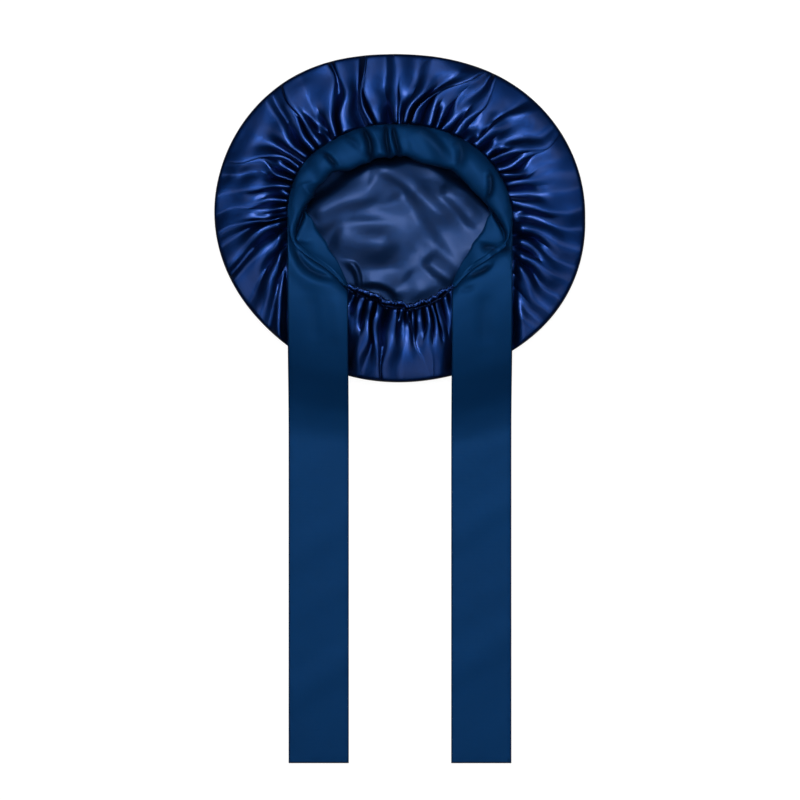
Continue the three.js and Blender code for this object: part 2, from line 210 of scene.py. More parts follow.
def finish_piece(piece, node):
    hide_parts(node)
    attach(piece, "root")
    triangles = sum(len(polygon.vertices) - 2 for polygon in piece.data.polygons)
    print(f"{piece.name}: {triangles} triangles")


print("mesh helpers ready")

# %% [markdown]
# ## Weave and colour groups
# Two effects are shared by several cloths, so each is a node group. The weave is a pattern of
# crossed threads that feeds a Bump node. The mottle is slow noise: no cloth takes dye or wear quite
# evenly, and it shifts the colour and the gloss a little from place to place.

# %% Node groups: crossed threads and uneven dye
DYE_DETAIL = 4


def add_socket(group, name, in_out, default=None):
    socket = group.interface.new_socket(name=name, in_out=in_out, socket_type="NodeSocketFloat")
    if default is not None:
        socket.default_value = default


def math_node(nodes, links, operation, first, second):
    node = nodes.new("ShaderNodeMath")
    node.operation = operation
    for socket, value in zip(node.inputs, (first, second)):
        if isinstance(value, (int, float)):
            socket.default_value = value
        else:
            links.new(value, socket)
    return node.outputs["Value"]


def build_weave_group():
    """Threads across and along, with the size and angle that a material asks for."""
    group = bpy.data.node_groups.new("crossed_threads", "ShaderNodeTree")
    add_socket(group, "Threads per metre", "INPUT", 2500)
    add_socket(group, "Twill", "INPUT", 0.5)
    add_socket(group, "Height", "OUTPUT")
    nodes, links = group.nodes, group.links
    given = nodes.new("NodeGroupInput")
    result = nodes.new("NodeGroupOutput")
    place = nodes.new("ShaderNodeTexCoord")
    parts = nodes.new("ShaderNodeSeparateXYZ")
    links.new(place.outputs["Object"], parts.inputs["Vector"])
    turns = math_node(nodes, links, "MULTIPLY", given.outputs["Threads per metre"], math.tau / 2)
    warp = math_node(nodes, links, "MULTIPLY", parts.outputs["X"], turns)
    weft = math_node(nodes, links, "MULTIPLY", parts.outputs["Y"], turns)
    lean = math_node(nodes, links, "MULTIPLY", weft, given.outputs["Twill"])
    across = math_node(nodes, links, "SINE", math_node(nodes, links, "ADD", warp, lean), 0)
    along = math_node(nodes, links, "SINE", math_node(nodes, links, "SUBTRACT", weft, lean), 0)
    links.new(math_node(nodes, links, "ADD", across, along), result.inputs["Height"])
    return group


def build_mottle_group():
    """Slow noise: Shade is about 1 and scales a colour, and Patch is the noise itself, about 0.5."""
    group = bpy.data.node_groups.new("uneven_dye", "ShaderNodeTree")
    add_socket(group, "Patches per metre", "INPUT", 30)
    add_socket(group, "Strength", "INPUT", 0.1)
    add_socket(group, "Shade", "OUTPUT")
    add_socket(group, "Patch", "OUTPUT")
    nodes, links = group.nodes, group.links
    given = nodes.new("NodeGroupInput")
    result = nodes.new("NodeGroupOutput")
    place = nodes.new("ShaderNodeTexCoord")
    noise = nodes.new("ShaderNodeTexNoise")
    noise.inputs["Detail"].default_value = DYE_DETAIL
    links.new(place.outputs["Object"], noise.inputs["Vector"])
    links.new(given.outputs["Patches per metre"], noise.inputs["Scale"])
    centred = math_node(nodes, links, "SUBTRACT", noise.outputs["Fac"], 0.5)
    doubled = math_node(nodes, links, "MULTIPLY", centred, 2)
    shift = math_node(nodes, links, "MULTIPLY", doubled, given.outputs["Strength"])
    links.new(math_node(nodes, links, "ADD", shift, 1), result.inputs["Shade"])
    links.new(noise.outputs["Fac"], result.inputs["Patch"])
    return group


weave_group = build_weave_group()
mottle_group = build_mottle_group()
print("groups:", weave_group.name, mottle_group.name)

# %% [markdown]
# ## Cloth materials
# Satin floats its silky threads over the surface, so its right side is nearly a mirror with a blue
# tint. A mostly metallic Principled BSDF does that. Every colour is also darkened where the cloth is
# seen from its side, as painted shade on the steep sides of folds. The wrong side shows the binding
# threads and is duller. The tape is matte twill, with painted shade at its sewn edges and creases.
# Each material mixes its colour with the mottle and bumps its surface with the weave and soft
# crinkles.

# %% Painted shade in the colours
# painted shade: how much colour a metallic cloth loses where it is seen from its side
PAINTED_SLOPE_SHADE = 1.1
LEAST_SHADE = 0.05


def tinted(nodes, links, colour, shade):
    """A colour multiplied by a value that changes over the surface."""
    node = nodes.new("ShaderNodeVectorMath")
    node.operation = "SCALE"
    node.inputs[0].default_value = colour
    links.new(shade, node.inputs["Scale"])
    return node.outputs["Vector"]


def minus_fold_painted_shade(nodes, links, shade):
    """Painted shade at sewn edges and in tight folds, by an attribute that only the tape carries."""
    folds = nodes.new("ShaderNodeAttribute")
    folds.attribute_name = "painted_shade"
    kept = math_node(nodes, links, "SUBTRACT", 1, folds.outputs["Fac"])
    return math_node(nodes, links, "MULTIPLY", shade, kept)


def minus_slope_painted_shade(nodes, links, shade, metallic):
    """Painted shade: a darker colour where a shiny cloth is seen from its side, as on steep folds."""
    facing = nodes.new("ShaderNodeLayerWeight")
    facing.inputs["Blend"].default_value = 0.5
    slope = facing.outputs["Facing"]
    lost = math_node(nodes, links, "MULTIPLY", slope, PAINTED_SLOPE_SHADE * metallic)
    kept = math_node(nodes, links, "SUBTRACT", 1, lost)
    kept = math_node(nodes, links, "MAXIMUM", kept, LEAST_SHADE)
    return math_node(nodes, links, "MULTIPLY", shade, kept)


print("steepest satin keeps", LEAST_SHADE, "of its colour")

# %% Satin, its wrong side, and the tape
COAT_ROUGHNESS = 0.3
GLOSS_SPREAD = 0.12  # how much the roughness changes over the mottle's patches
CRINKLE_DETAIL = 3


def place_group(nodes, group, values):
    """A node group with a value for each of its named inputs."""
    node = nodes.new("ShaderNodeGroup")
    node.node_tree = group
    for name, value in values.items():
        node.inputs[name].default_value = value
    return node


def bump(nodes, links, height, millimetres):
    node = nodes.new("ShaderNodeBump")
    node.inputs["Strength"].default_value = 1
    node.inputs["Distance"].default_value = millimetres * MM
    links.new(height, node.inputs["Height"])
    return node


def cloth_material(
    name, colour, roughness, metallic, specular, coat, threads, twill, thread_height, crinkle, mottle
):
    """One cloth: crinkle is (folds per metre, mm high), mottle is (patches per metre, strength)."""
    material = bpy.data.materials.new(name)
    material.use_nodes = True
    nodes, links = material.node_tree.nodes, material.node_tree.links
    surface = nodes["Principled BSDF"]
    surface.inputs["Metallic"].default_value = metallic
    surface.inputs["Specular IOR Level"].default_value = specular
    surface.inputs["Coat Weight"].default_value = coat
    surface.inputs["Coat Roughness"].default_value = COAT_ROUGHNESS

    dye = place_group(nodes, mottle_group, {"Patches per metre": mottle[0], "Strength": mottle[1]})
    # painted shade: darker in creases and at sewn edges, and on slopes seen from the side
    shade = minus_fold_painted_shade(nodes, links, dye.outputs["Shade"])
    shade = minus_slope_painted_shade(nodes, links, shade, metallic)
    links.new(tinted(nodes, links, colour, shade), surface.inputs["Base Color"])
    gloss = math_node(nodes, links, "MULTIPLY", dye.outputs["Patch"], GLOSS_SPREAD)
    gloss = math_node(nodes, links, "ADD", gloss, roughness - GLOSS_SPREAD / 2)
    links.new(gloss, surface.inputs["Roughness"])

    folds = nodes.new("ShaderNodeTexNoise")
    folds.inputs["Scale"].default_value = crinkle[0]
    folds.inputs["Detail"].default_value = CRINKLE_DETAIL
    place = nodes.new("ShaderNodeTexCoord")
    links.new(place.outputs["Object"], folds.inputs["Vector"])
    soft = bump(nodes, links, folds.outputs["Fac"], crinkle[1])
    weave = place_group(nodes, weave_group, {"Threads per metre": threads, "Twill": twill})
    fine = bump(nodes, links, weave.outputs["Height"], thread_height)
    links.new(soft.outputs["Normal"], fine.inputs["Normal"])
    links.new(fine.outputs["Normal"], surface.inputs["Normal"])
    return material


satin = cloth_material(
    "satin",
    colour=(0.0009, 0.028, 0.151),
    roughness=0.44,
    metallic=0.97,
    specular=0.5,
    coat=0.28,
    threads=2600,
    twill=0.2,
    thread_height=0.003,
    crinkle=(70, 0.4),
    mottle=(14, 0.12),
)
satin_back = cloth_material(
    "satin_back",
    colour=(0.0027, 0.0192, 0.076),
    roughness=0.46,
    metallic=0.75,
    specular=0.2,
    coat=0.08,
    threads=2200,
    twill=0.5,
    thread_height=0.006,
    crinkle=(55, 0.6),
    mottle=(18, 0.12),
)
tape = cloth_material(
    "tape",
    colour=(0.0012, 0.0235, 0.084),
    roughness=0.55,
    metallic=0.4,
    specular=0.04,
    coat=0,
    threads=1500,
    twill=0.6,
    thread_height=0.006,
    crinkle=(30, 0.5),
    mottle=(9, 0.14),
)
print("materials:", satin.name, satin_back.name, tape.name)

# %% [markdown]
# ## The table
# A shop photo gets its white ground without a shadow from a light box under the object. Here one
# large square does the same: it glows for the camera alone, so its light doesn't reach the bonnet
# and flatten the folds. Its own colour is dark, because a pale table would throw light back onto
# the bonnet's sides.

# %% The light box under the bonnet
TABLE_SIDE = 8
TABLE_DROP = 0.3  # a hair under the cloth, so that the two don't flicker
TABLE_GLOW = (0.95, 0.95, 0.95)
TABLE_COLOUR = (0.1, 0.1, 0.1)
TABLE_ROUGHNESS = 0.9
TABLE_SPECULAR = 0.1
TABLE_MOTTLE = {"Patches per metre": 3, "Strength": 0.01}


def table_material():
    material = bpy.data.materials.new("white_table")
    material.use_nodes = True
    nodes, links = material.node_tree.nodes, material.node_tree.links
    surface = nodes["Principled BSDF"]
    surface.inputs["Roughness"].default_value = TABLE_ROUGHNESS
    surface.inputs["Specular IOR Level"].default_value = TABLE_SPECULAR
    dye = place_group(nodes, mottle_group, TABLE_MOTTLE)
    own_colour = tinted(nodes, links, TABLE_COLOUR, dye.outputs["Shade"])
    links.new(own_colour, surface.inputs["Base Color"])
    ray = nodes.new("ShaderNodeLightPath")
    glow = tinted(nodes, links, TABLE_GLOW, ray.outputs["Is Camera Ray"])
    links.new(glow, surface.inputs["Emission Color"])
    surface.inputs["Emission Strength"].default_value = 1
    return material


half = TABLE_SIDE / 2 / MM
table_plan = ((-half, -half), (half, -half), (half, half), (-half, half))
table_corners = [(x, y, -TABLE_DROP) for x, y in table_plan]
table = make_piece("white_table", table_corners, [(0, 1, 2, 3)], [table_material()])
print("table side in m:", TABLE_SIDE)

# %% [markdown]
# ## The crown's plain shape
# The crown is a large round of satin. Gathered into the head opening and laid down, it is a flat,
# puffed ring. First come its plain outlines, which are those of the solid: the outer edge, the
# opening's edge and the height of the puffed side between them. The puff slopes gently outward and
# turns down only at its rolled edge.

# %% Outline, opening and puff
CROWN_HALF_WIDTH = 175.5
CROWN_HALF_DEPTH = 156.5
EDGE_HEIGHT = 19  # where the bag is widest
EDGE_INSET = 30  # from the widest place in to where the cloth leaves the table
PUFF_HEIGHT = 47
PUFF_FALL = 13  # from the seam to the rolled edge
EDGE_ROLL = 150  # the higher, the narrower the rolled edge
OPENING_HALF_WIDTH = 105
OPENING_FRONT = 88
OPENING_NAPE = 90
FRONT_SQUARENESS = 2.25
FRONT_RIM_HEIGHT = 38
NAPE_RIM_HEIGHT = 34
SEAM_TUCK = 0.012  # share of the way out over which every crest turns under at the seam
CREST_DIVE = 0.3  # share of the way out over which a crest comes down to the seam
CREST_DEPTH = (0.05, 0.25)  # shares of a valley's depth that it reaches at the nape and the front
VALLEY_DIVE = 0.36  # the same as CREST_DIVE for a valley
TIE_DIVE = 0.16  # the same under a tie
TIE_ROLL = 7  # like EDGE_ROLL, under a tie
NAPE_TO_FRONT = (-0.8, -0.5)  # between these sines of the angle the nape's gathers become the front's
DIVE_POWER = 1.5  # how roundly the cloth turns down to the seam

OUTLINE_SWELL = [  # degrees from +X, millimetres past the oval
    (0, -1), (45, 1.5), (90, -2), (130, 4.5), (170, 0.5), (215, -4.5), (250, -2), (290, -2),
    (330, 1.5), (360, -1),
]
TIE_PULL = [  # degrees from the nape, millimetres inward
    (0, 0), (25, 5), (45, 14), (58, 14), (78, 0.5), (90, 0),
]
CASING_EDGE = [  # degrees from the nape, millimetres from the edge in to the nape's ruffle
    (-38, 4), (-33.5, 5.8), (-29.4, 8.7), (-24, 11), (-15.3, 11.8), (-11.8, 9.9), (-9, 8.5),
    (1.4, 10.2), (4.1, 6.6), (10.7, 6), (14.6, 7.3), (20, 5.4), (22, 7), (24.5, 6), (29.1, 7.2),
    (33.2, 4.8), (38, 2.5),
]
FRONT_PULL = [  # degrees from +X, millimetres inward
    (0, 0), (17, 2.5), (30, 4), (45, 3.6), (58, 3.2), (72, 2), (90, 0.8), (115, 0.6), (134, 2),
    (148, 0.5), (180, 0),
]


def degrees_of(theta):
    return np.degrees(theta) % 360


def outline_radius(theta):
    plain = oval(theta, CROWN_HALF_WIDTH, CROWN_HALF_DEPTH)
    return plain + read_table(OUTLINE_SWELL, degrees_of(theta))


def rim_radius(theta):
    front = oval(theta, OPENING_HALF_WIDTH, OPENING_FRONT, FRONT_SQUARENESS)
    front = front - read_table(FRONT_PULL, degrees_of(theta))
    nape = oval(theta, OPENING_HALF_WIDTH, OPENING_NAPE)
    nape = nape - read_table(TIE_PULL, np.abs(degrees_of(theta) - 270))
    return np.where(np.sin(theta) > 0, front, nape)


def rim_height(theta):
    return mix(NAPE_RIM_HEIGHT, FRONT_RIM_HEIGHT, smooth(-1, 0.1, np.sin(theta)))


def puff_height(out, roll=EDGE_ROLL):
    crown_of_puff = PUFF_HEIGHT - EDGE_HEIGHT - PUFF_FALL * out**2
    return EDGE_HEIGHT + crown_of_puff * np.sqrt(1 - out**roll)


def seam_dive(theta, out, standing, pressed):
    """How far the cloth lies under the puff near the seam: standing is 1 on a crest, 0 in a valley."""
    reach = mix(mix(VALLEY_DIVE, CREST_DIVE, standing), TIE_DIVE, pressed)
    crest_share = mix(*CREST_DEPTH, smooth(*NAPE_TO_FRONT, np.sin(theta)))
    share = mix(1, crest_share, standing * (1 - pressed))
    slow = np.exp(-((out / reach) ** DIVE_POWER))
    quick = np.exp(-((out / SEAM_TUCK) ** DIVE_POWER))
    return (PUFF_HEIGHT - rim_height(theta)) * (share * slow + (1 - share) * quick)


print("opening in mm:", 2 * OPENING_HALF_WIDTH, "x", OPENING_FRONT + OPENING_NAPE)

# %% [markdown]
# ## The gathers
# Satin gathered into a seam stands up in rounded ridges with sharp, dark valleys between them, and
# the ridges run together and fade on their way out. Each row follows one crest: its angle at five
# places from the seam to the outline, how high it stands, and where on that way it starts and ends.
# The last two numbers describe the valley before the next crest: where its floor lies between the
# two, and how deep it is. A valley whose crests meet closes to a leaf shape.

# %% Crests, counterclockwise from +X
CREST_STATIONS = (0, 0.25, 0.5, 0.75, 1)
CRESTS = [
    # degrees at the five stations, height in mm, start, end, valley's place, valley's depth
    ((1, 0.5, 0, -0.5, -1), 4, 0, 0.22, 0.4, 1),
    ((8.5, 5, 2, 1.5, 4), 8, 0, 1, 0.5, 0.9),
    ((12, 10.5, 8.5, 8, 9), 4, 0.3, 0.85, 0.55, 1),
    ((17, 16.8, 16.2, 15.8, 15.5), 6, 0, 1, 0.4, 0.5),
    ((23.5, 20, 24.6, 25, 27), 7, 0, 0.6, 0.5, 1),
    ((25.5, 24.8, 25.2, 25.1, 27.4), 6, 0, 0.6, 0.5, 1),
    ((32.5, 31, 28, 25.3, 28), 8, 0, 1, 0.35, 1),
    ((36.5, 36.5, 36.5, 36.5, 36.5), 5, 0, 0.4, 0.45, 1),
    ((43.5, 44, 42.8, 40, 38), 8, 0, 1, 0.3, 1),
    ((50, 49.5, 51.5, 53, 55), 7, 0.05, 0.7, 0.5, 0.7),
    ((56.5, 56, 53.2, 53.6, 56), 9, 0, 1, 0.4, 1),
    ((65, 62.7, 64.4, 61, 58), 6, 0, 0.6, 0.5, 1),
    ((67.5, 67.3, 65, 62.5, 58.5), 6, 0, 0.6, 0.55, 1),
    ((72, 72.5, 72.8, 63.2, 57.5), 8, 0, 1, 0.5, 1),
    ((82.5, 80.5, 73.4, 63.8, 58), 8, 0, 1, 0.4, 1),
    ((87.5, 84.8, 79.5, 78.3, 78), 8, 0, 1, 0.4, 1),
    ((90.8, 90.7, 90, 84.5, 79), 5, 0.35, 0.95, 0.5, 0.8),
    ((91.8, 91.6, 91.2, 91, 91), 8, 0, 1, 0.38, 0.9),
    ((103, 104.6, 106, 103.4, 100.6), 6, 0, 1, 0.5, 1),
    ((106.5, 108, 107, 103.8, 101), 8, 0, 1, 0.25, 1),
    ((124, 119.5, 113.6, 113.2, 112.5), 8, 0, 1, 0.5, 1),
    ((129, 125, 119.8, 115.6, 115), 8, 0, 1, 0.6, 0.75),
    ((132, 131.5, 131.5, 130.2, 128), 6, 0.05, 0.85, 0.35, 1),
    ((138.5, 136.7, 135, 134, 131), 9, 0, 1, 0.45, 1),
    ((142, 140, 136.4, 134.6, 131.5), 6, 0, 1, 0.5, 1),
    ((147.5, 146.7, 144.3, 141, 139), 8, 0, 1, 0.5, 1),
    ((150.5, 150, 150.5, 154, 158), 4, 0.55, 1, 0.3, 1),
    ((154, 152.5, 156, 160.5, 162), 9, 0, 1, 0.45, 1),
    ((157.5, 156.5, 156.7, 161, 163), 5, 0, 0.5, 0.5, 1),
    ((161, 160.7, 157.7, 162, 164), 6, 0, 0.6, 0.35, 1),
    ((164.5, 166, 169, 171.5, 174), 8, 0, 1, 0.5, 1),
    ((168.5, 168.8, 171, 173, 175), 5, 0, 0.35, 0.5, 1),
    ((171.5, 172, 176, 176.5, 178), 6, 0, 0.55, 0.5, 1),
    ((175, 176.5, 176.4, 178, 180), 6, 0, 0.55, 0.5, 1),
    ((177.5, 179.5, 180.5, 181, 183), 4, 0, 0.3, 0.5, 0.8),
    ((179.8, 181, 181.8, 183, 185.5), 8, 0, 1, 0.35, 1),
    ((183, 183.6, 188, 193, 196), 8, 0, 1, 0.5, 1),
    ((187, 191.5, 195.3, 198, 201), 7, 0, 1, 0.6, 1),
    ((195, 198.3, 204, 211, 215), 9, 0, 1, 0.5, 1),
    ((203, 205.5, 211, 219, 226), 8, 0, 1, 0.5, 1),
    ((212, 215, 219, 223, 229), 6, 0, 1, 0.5, 1),
    ((221, 223, 226, 229, 233), 6, 0, 1, 0.5, 1),
    ((230, 232, 234, 236, 239), 6, 0, 1, 0.5, 1),
    ((238, 239, 241, 243, 245), 6, 0, 1, 0.5, 1),
    ((244.5, 246, 247.5, 249, 249), 5.5, 0, 0.5, 0.5, 1),
    ((250.5, 252.5, 255, 252, 250), 6, 0, 1, 0.5, 1),
    ((257.5, 256.7, 259, 261.5, 263), 5.5, 0, 1, 0.4, 1),
    ((267.6, 267.5, 266, 263.6, 264), 5.5, 0, 1, 0.35, 1),
    ((271.3, 271.3, 271, 270, 270), 4.5, 0, 0.22, 0.5, 1),
    ((274.3, 274, 274, 274, 275), 4.5, 0, 0.22, 0.5, 1),
    ((278, 276.6, 276.6, 279.5, 281), 5.5, 0, 0.8, 0.5, 1),
    ((281.5, 280, 277, 280, 281.5), 4.5, 0, 0.5, 0.5, 1),
    ((287, 285.7, 283, 282.5, 282), 6, 0, 1, 0.5, 1),
    ((290, 289.6, 287, 283.2, 282.5), 5.5, 0, 0.7, 0.5, 1),
    ((293.3, 291, 291.8, 291, 291), 5, 0, 0.7, 0.5, 1),
    ((300, 298, 292.6, 291.5, 291.5), 5.5, 0, 0.7, 0.5, 1),
    ((309, 307, 303, 300, 298), 6, 0, 1, 0.5, 1),
    ((317, 317, 317.5, 319.3, 319.5), 6, 0, 0.95, 0.5, 1),
    ((324, 323.5, 322.3, 320.3, 320), 6, 0, 1, 0.5, 1),
    ((330, 328.7, 327, 326.3, 326), 6, 0, 0.7, 0.5, 1),
    ((333, 331.5, 329.5, 326.8, 326.4), 6, 0, 0.7, 0.5, 1),
    ((336, 336.5, 334, 328.8, 326.8), 8, 0, 1, 0.5, 1),
    ((345, 342.7, 341, 339.6, 338.5), 8, 0, 1, 0.5, 1),
    ((347.5, 348, 344.8, 341.4, 339.5), 7, 0, 0.95, 0.5, 1),
    ((355, 354.6, 353, 350.4, 349.5), 8, 0, 1, 0.5, 1),
]
LONG = np.array([row[2] == 0 and row[3] == 1 for row in CRESTS])
print("crests:", len(CRESTS), "of which long:", LONG.sum())

# %% [markdown]
# ## From crests to ridges
# From a rounded crest the cloth falls ever more steeply to the valley's floor, where two sides meet
# in a crease. Farther out the satin is less crowded, and the creases soften into waves. Crests may
# run together but never cross, and a valley beside a crest that fades out gets shallow with it. A
# little random straying keeps the lines from looking drawn.

# %% Crest lines
LINE_STRAY = 0.25  # degrees by which a crest strays from its line
HEIGHT_STRAY = 0.12  # share by which its height varies along it
RISE = (-0.1, 0.35)  # shares of the way out past its start over which a late crest rises
FADE = (0.15, 1.4)  # shares of the way to its end over which a short crest fades
CREST_GAP = 0.3  # degrees that stay between two crests where they run together


def crest_lines(crests, shares):
    """Angles and heights of all crests at each share of the way out, in order round the crown."""
    stations = np.array(CREST_STATIONS)
    angles, heights = [], []
    for number, (path, height, start, end, _, _) in enumerate(crests):
        line = read_table(np.column_stack([stations, path]), shares)
        line = line + LINE_STRAY * wander(shares * 2.2, 40 + number) * smooth(0, 0.3, shares)
        angles.append(np.maximum(line, angles[-1] + CREST_GAP) if angles else line)
        rise = smooth(start + RISE[0], start + RISE[1], shares) if start else 1
        fall = 1 - smooth(end * FADE[0], end * FADE[1], shares) if end < 1 else 1
        stray = 1 + HEIGHT_STRAY * wander(shares * 2.6, 140 + number)
        heights.append(height * rise * fall * stray)
    return np.array(angles), np.maximum(np.array(heights), 0)


halfway = crest_lines(CRESTS, np.array([0.5]))[1]
print("crests' heights halfway out in mm:", round(halfway.min(), 1), "to", round(halfway.max(), 1))

# %% Ridges and valleys
LEVEL = 0.9  # a valley is shallower where its lower crest has less than this share of the higher
STEEPEST = 1.1  # the most that a valley lies under its crests for each mm to the next crest
CREST_RADIUS = (6, 12)  # millimetres near the seam and farther out over which a crest is rounded
SOFTENING = (0.25, 0.75)  # shares of the way out between which creased valleys get softer
SOFTEST = 0.6  # how far they turn into plain waves by then
NAPE_BREADTH = 1.9  # how much broader the crests are at the nape
NAPE_SECTOR = (22, 34)  # degrees from the nape between which that fades
LEAST_HEIGHT = 0.1  # millimetres, against dividing by nothing
MEAN_RIM = 97
MEAN_OUTLINE = 166


def ridges(angles, heights, crests, theta_degrees, shares):
    """Height of the ridges on a grid of angles, whose rows are shares of the way out."""
    places = np.array([row[4] for row in crests])
    depths = np.array([row[5] for row in crests])
    radius = mix(*CREST_RADIUS, smooth(0, 0.6, shares))
    result = np.zeros(theta_degrees.shape)
    for row, share_out in enumerate(shares):
        crest = np.concatenate([[angles[-1, row] - 360], angles[:, row], [angles[0, row] + 360]])
        height = np.concatenate([[heights[-1, row]], heights[:, row], [heights[0, row]]])
        place = np.where(theta_degrees[row] < crest[0], theta_degrees[row] + 360, theta_degrees[row])
        place = np.where(place >= crest[-1], place - 360, place)
        left = np.clip(np.searchsorted(crest, place, "right") - 1, 0, len(crest) - 2)
        gap = crest[left + 1] - crest[left]
        share = (place - crest[left]) / gap
        valley = places[left - 1]
        gap_mm = np.radians(gap) * mix(MEAN_RIM, MEAN_OUTLINE, share_out)
        side = np.where(share < valley, valley, 1 - valley)
        down = np.where(share < valley, share, 1 - share) / side
        bend = radius[row] / (side * gap_mm)
        rounded = (np.hypot(down, bend) - bend) / (np.hypot(1, bend) - bend)
        from_nape = np.abs(theta_degrees[row] - 270)
        rounded = rounded ** mix(NAPE_BREADTH, 1, smooth(*NAPE_SECTOR, from_nape))
        down = mix(rounded, smooth(0, 1, down), SOFTEST * smooth(*SOFTENING, share_out))
        before, after = height[left], height[left + 1]
        crest_height = mix(before, after, smooth(0, 1, share))
        steep = STEEPEST * gap_mm / np.maximum(crest_height, LEAST_HEIGHT)
        level = np.minimum(before, after) / np.maximum(np.maximum(before, after), LEAST_HEIGHT)
        depth = depths[left - 1] * np.minimum(1, steep)
        depth = depth * smooth(0, LEVEL, level)
        result[row] = crest_height * (1 - depth * down)
    return result


print("a crest's rounding in mm:", CREST_RADIUS)

# %% Small gathers between the crests, where the thread pulls the satin up
SMALL_GATHERS = 80
SMALL_HEIGHT = (0.3, 1)
SMALL_END = (0.06, 0.22)

random = np.random.default_rng(7)
small_crests = []
for number in range(SMALL_GATHERS):
    angle = (number + random.uniform(0.15, 0.85)) * 360 / SMALL_GATHERS
    path = (angle,) * len(CREST_STATIONS)
    height, end = random.uniform(*SMALL_HEIGHT), random.uniform(*SMALL_END)
    valley_place = random.uniform(0.3, 0.7)
    small_crests.append((path, height, 0, end, valley_place, 1))
print("small gathers:", len(small_crests))

# %% [markdown]
# ## Loose folds of the closed side
# Through the opening one sees the inside of the closed side. It isn't gathered, but it doesn't lie
# flat either: long soft folds cross it. Each is a ridge along a bent line, and it may be steeper on
# one side. The loose cloth also stands up a little in the middle and dives under the band's lip,
# where it lies in the shade. The same helper serves for creases later: a crease is a fold with a
# negative height.

# %% Folds of the closed side
INNER_FOLDS = [
    # start, middle and end of the crest, width to its left and right, height
    ((-84, 2), (-58, 14), (-12, 22), 14, 10, 4),
    ((-84, -14), (-52, 2), (4, 4), 12, 9, 3),
    ((-31, 47), (10, 31), (62, -26), 14, 8, 4.5),
    ((10, 30), (28, 4), (62, -46), 12, 9, 3.5),
    ((36, 29), (55, 14), (76, -10), 12, 8, 4),
    ((-31, 38), (-17, 30), (-4, 14), 12, 14, 2.5),
    ((-50, -40), (-40, -50), (-38, -70), 2.2, 4, 4.5),
    ((-42, -62), (-14, -62), (0, -78), 14, 3.5, 4.5),
    ((22, -36), (38, -50), (56, -62), 14, 6, 3.5),
    ((-64, -10), (-38, -19), (0, -31), 16, 20, 5),
    ((4, -52), (14, -62), (22, -76), 14, 12, 2),
]
FOLD_SCALE = 1.15
SLOW_WAVES = 1.2
WAVE_LENGTHS = (60, 90)  # millimetres in which the slow waves of loose cloth come and go
SLACK = 2  # how far the loose cloth stands off the table between its folds
LOOSE_PART = (140, 122)  # half the width and depth of the closed side's loose part
BILLOW = 7.5  # how far the loose cloth stands up inside the opening
LOW_CORNER = 0.6  # by which share it stands up less near the nape, left of the middle
DIVE_LENGTH = 12  # over how many millimetres it dives under the band's lip
DIVE_STRAY = 0.8  # millimetres by which the line where it dives strays
DIVE_START = [  # degrees from +X, millimetres from the band's lip in to where it starts to dive
    (0, 5), (12, 10), (35, 10), (60, 6.5), (90, 6), (115, 7), (135, 12), (160, 13), (175, 6),
    (190, 0), (235, -8), (305, -8), (350, 0), (360, 5),
]
LIP_LINE = [  # degrees from the forehead, millimetres from the opening's edge in to the band's lip
    (0, 31), (50, 30), (68, 24), (84, 15), (96, 8), (110, 5), (180, 5),
]
FOLD_STEPS = 25
FOLD_ENDS = 0.3  # share of its height that a fold keeps at its ends


def fold_height(x, y, start, middle, end, left_width, right_width, height):
    """A fold along a line bent at its middle, highest there and fading to its ends."""
    steps = np.linspace(0, 1, FOLD_STEPS)[:, None]
    start, middle, end = np.array(start, float), np.array(middle, float), np.array(end, float)
    control = 2 * middle - (start + end) / 2
    line = (1 - steps) ** 2 * start + 2 * steps * (1 - steps) * control + steps**2 * end
    nearest = np.full(np.shape(x), 1e9)
    side, along = np.zeros(np.shape(x)), np.zeros(np.shape(x))
    for i in range(len(line) - 1):
        (px, py), (dx, dy) = line[i], line[i + 1] - line[i]
        share = np.clip(((x - px) * dx + (y - py) * dy) / (dx * dx + dy * dy), 0, 1)
        away = np.hypot(x - px - share * dx, y - py - share * dy)
        closer = away < nearest
        nearest = np.where(closer, away, nearest)
        side = np.where(closer, dx * (y - py) - dy * (x - px), side)
        along = np.where(closer, (i + share) / (len(line) - 1), along)
    width = np.where(side > 0, left_width, right_width)
    ends = smooth(-0.02, 0.25, along) * (1 - smooth(0.75, 1.02, along))
    return height * mix(FOLD_ENDS, 1, ends) * bell(nearest, width)


def closed_side_height(x, y):
    total = np.zeros(np.shape(x))
    for fold in INNER_FOLDS:
        total = np.sqrt(total**2 + fold_height(x, y, *fold) ** 2)
    along, across = WAVE_LENGTHS
    slow = wander(x / along + y / across, 3) + wander(y / along - x / across, 4)
    theta = np.arctan2(y, x)
    from_forehead = np.abs((degrees_of(theta) + 90) % 360 - 180)
    lip = rim_radius(theta) - read_table(LIP_LINE, from_forehead)
    stray = DIVE_STRAY * wander(theta * 2.2, 8)
    dive_start = lip - read_table(DIVE_START, degrees_of(theta)) + stray
    billow = BILLOW * (1 - smooth(0, DIVE_LENGTH, np.hypot(x, y) - dive_start))
    billow = billow * (1 - LOW_CORNER * smooth(-15, -60, y) * bell(x + 25, 35))
    near_edge = 1 - smooth(0.75, 1, np.hypot(x / LOOSE_PART[0], y / LOOSE_PART[1]))
    return np.maximum((SLACK + FOLD_SCALE * total + SLOW_WAVES * slow) * near_edge + billow, 0)


print("folds of the closed side:", len(INNER_FOLDS))

# %% [markdown]
# ## The crown's rows and columns
# The mesh's columns run along the crests and along the valleys between them, so each fold keeps a
# clean line with few faces. The rows lie closer together near the seam, where the gathers are
# small.

# %% Rows and columns
COLUMN_DEGREES = 0.72  # about how far apart the columns are
TOP_ROWS = 46
ROW_CROWDING = 1.2  # above 1, the rows are closer together near the seam


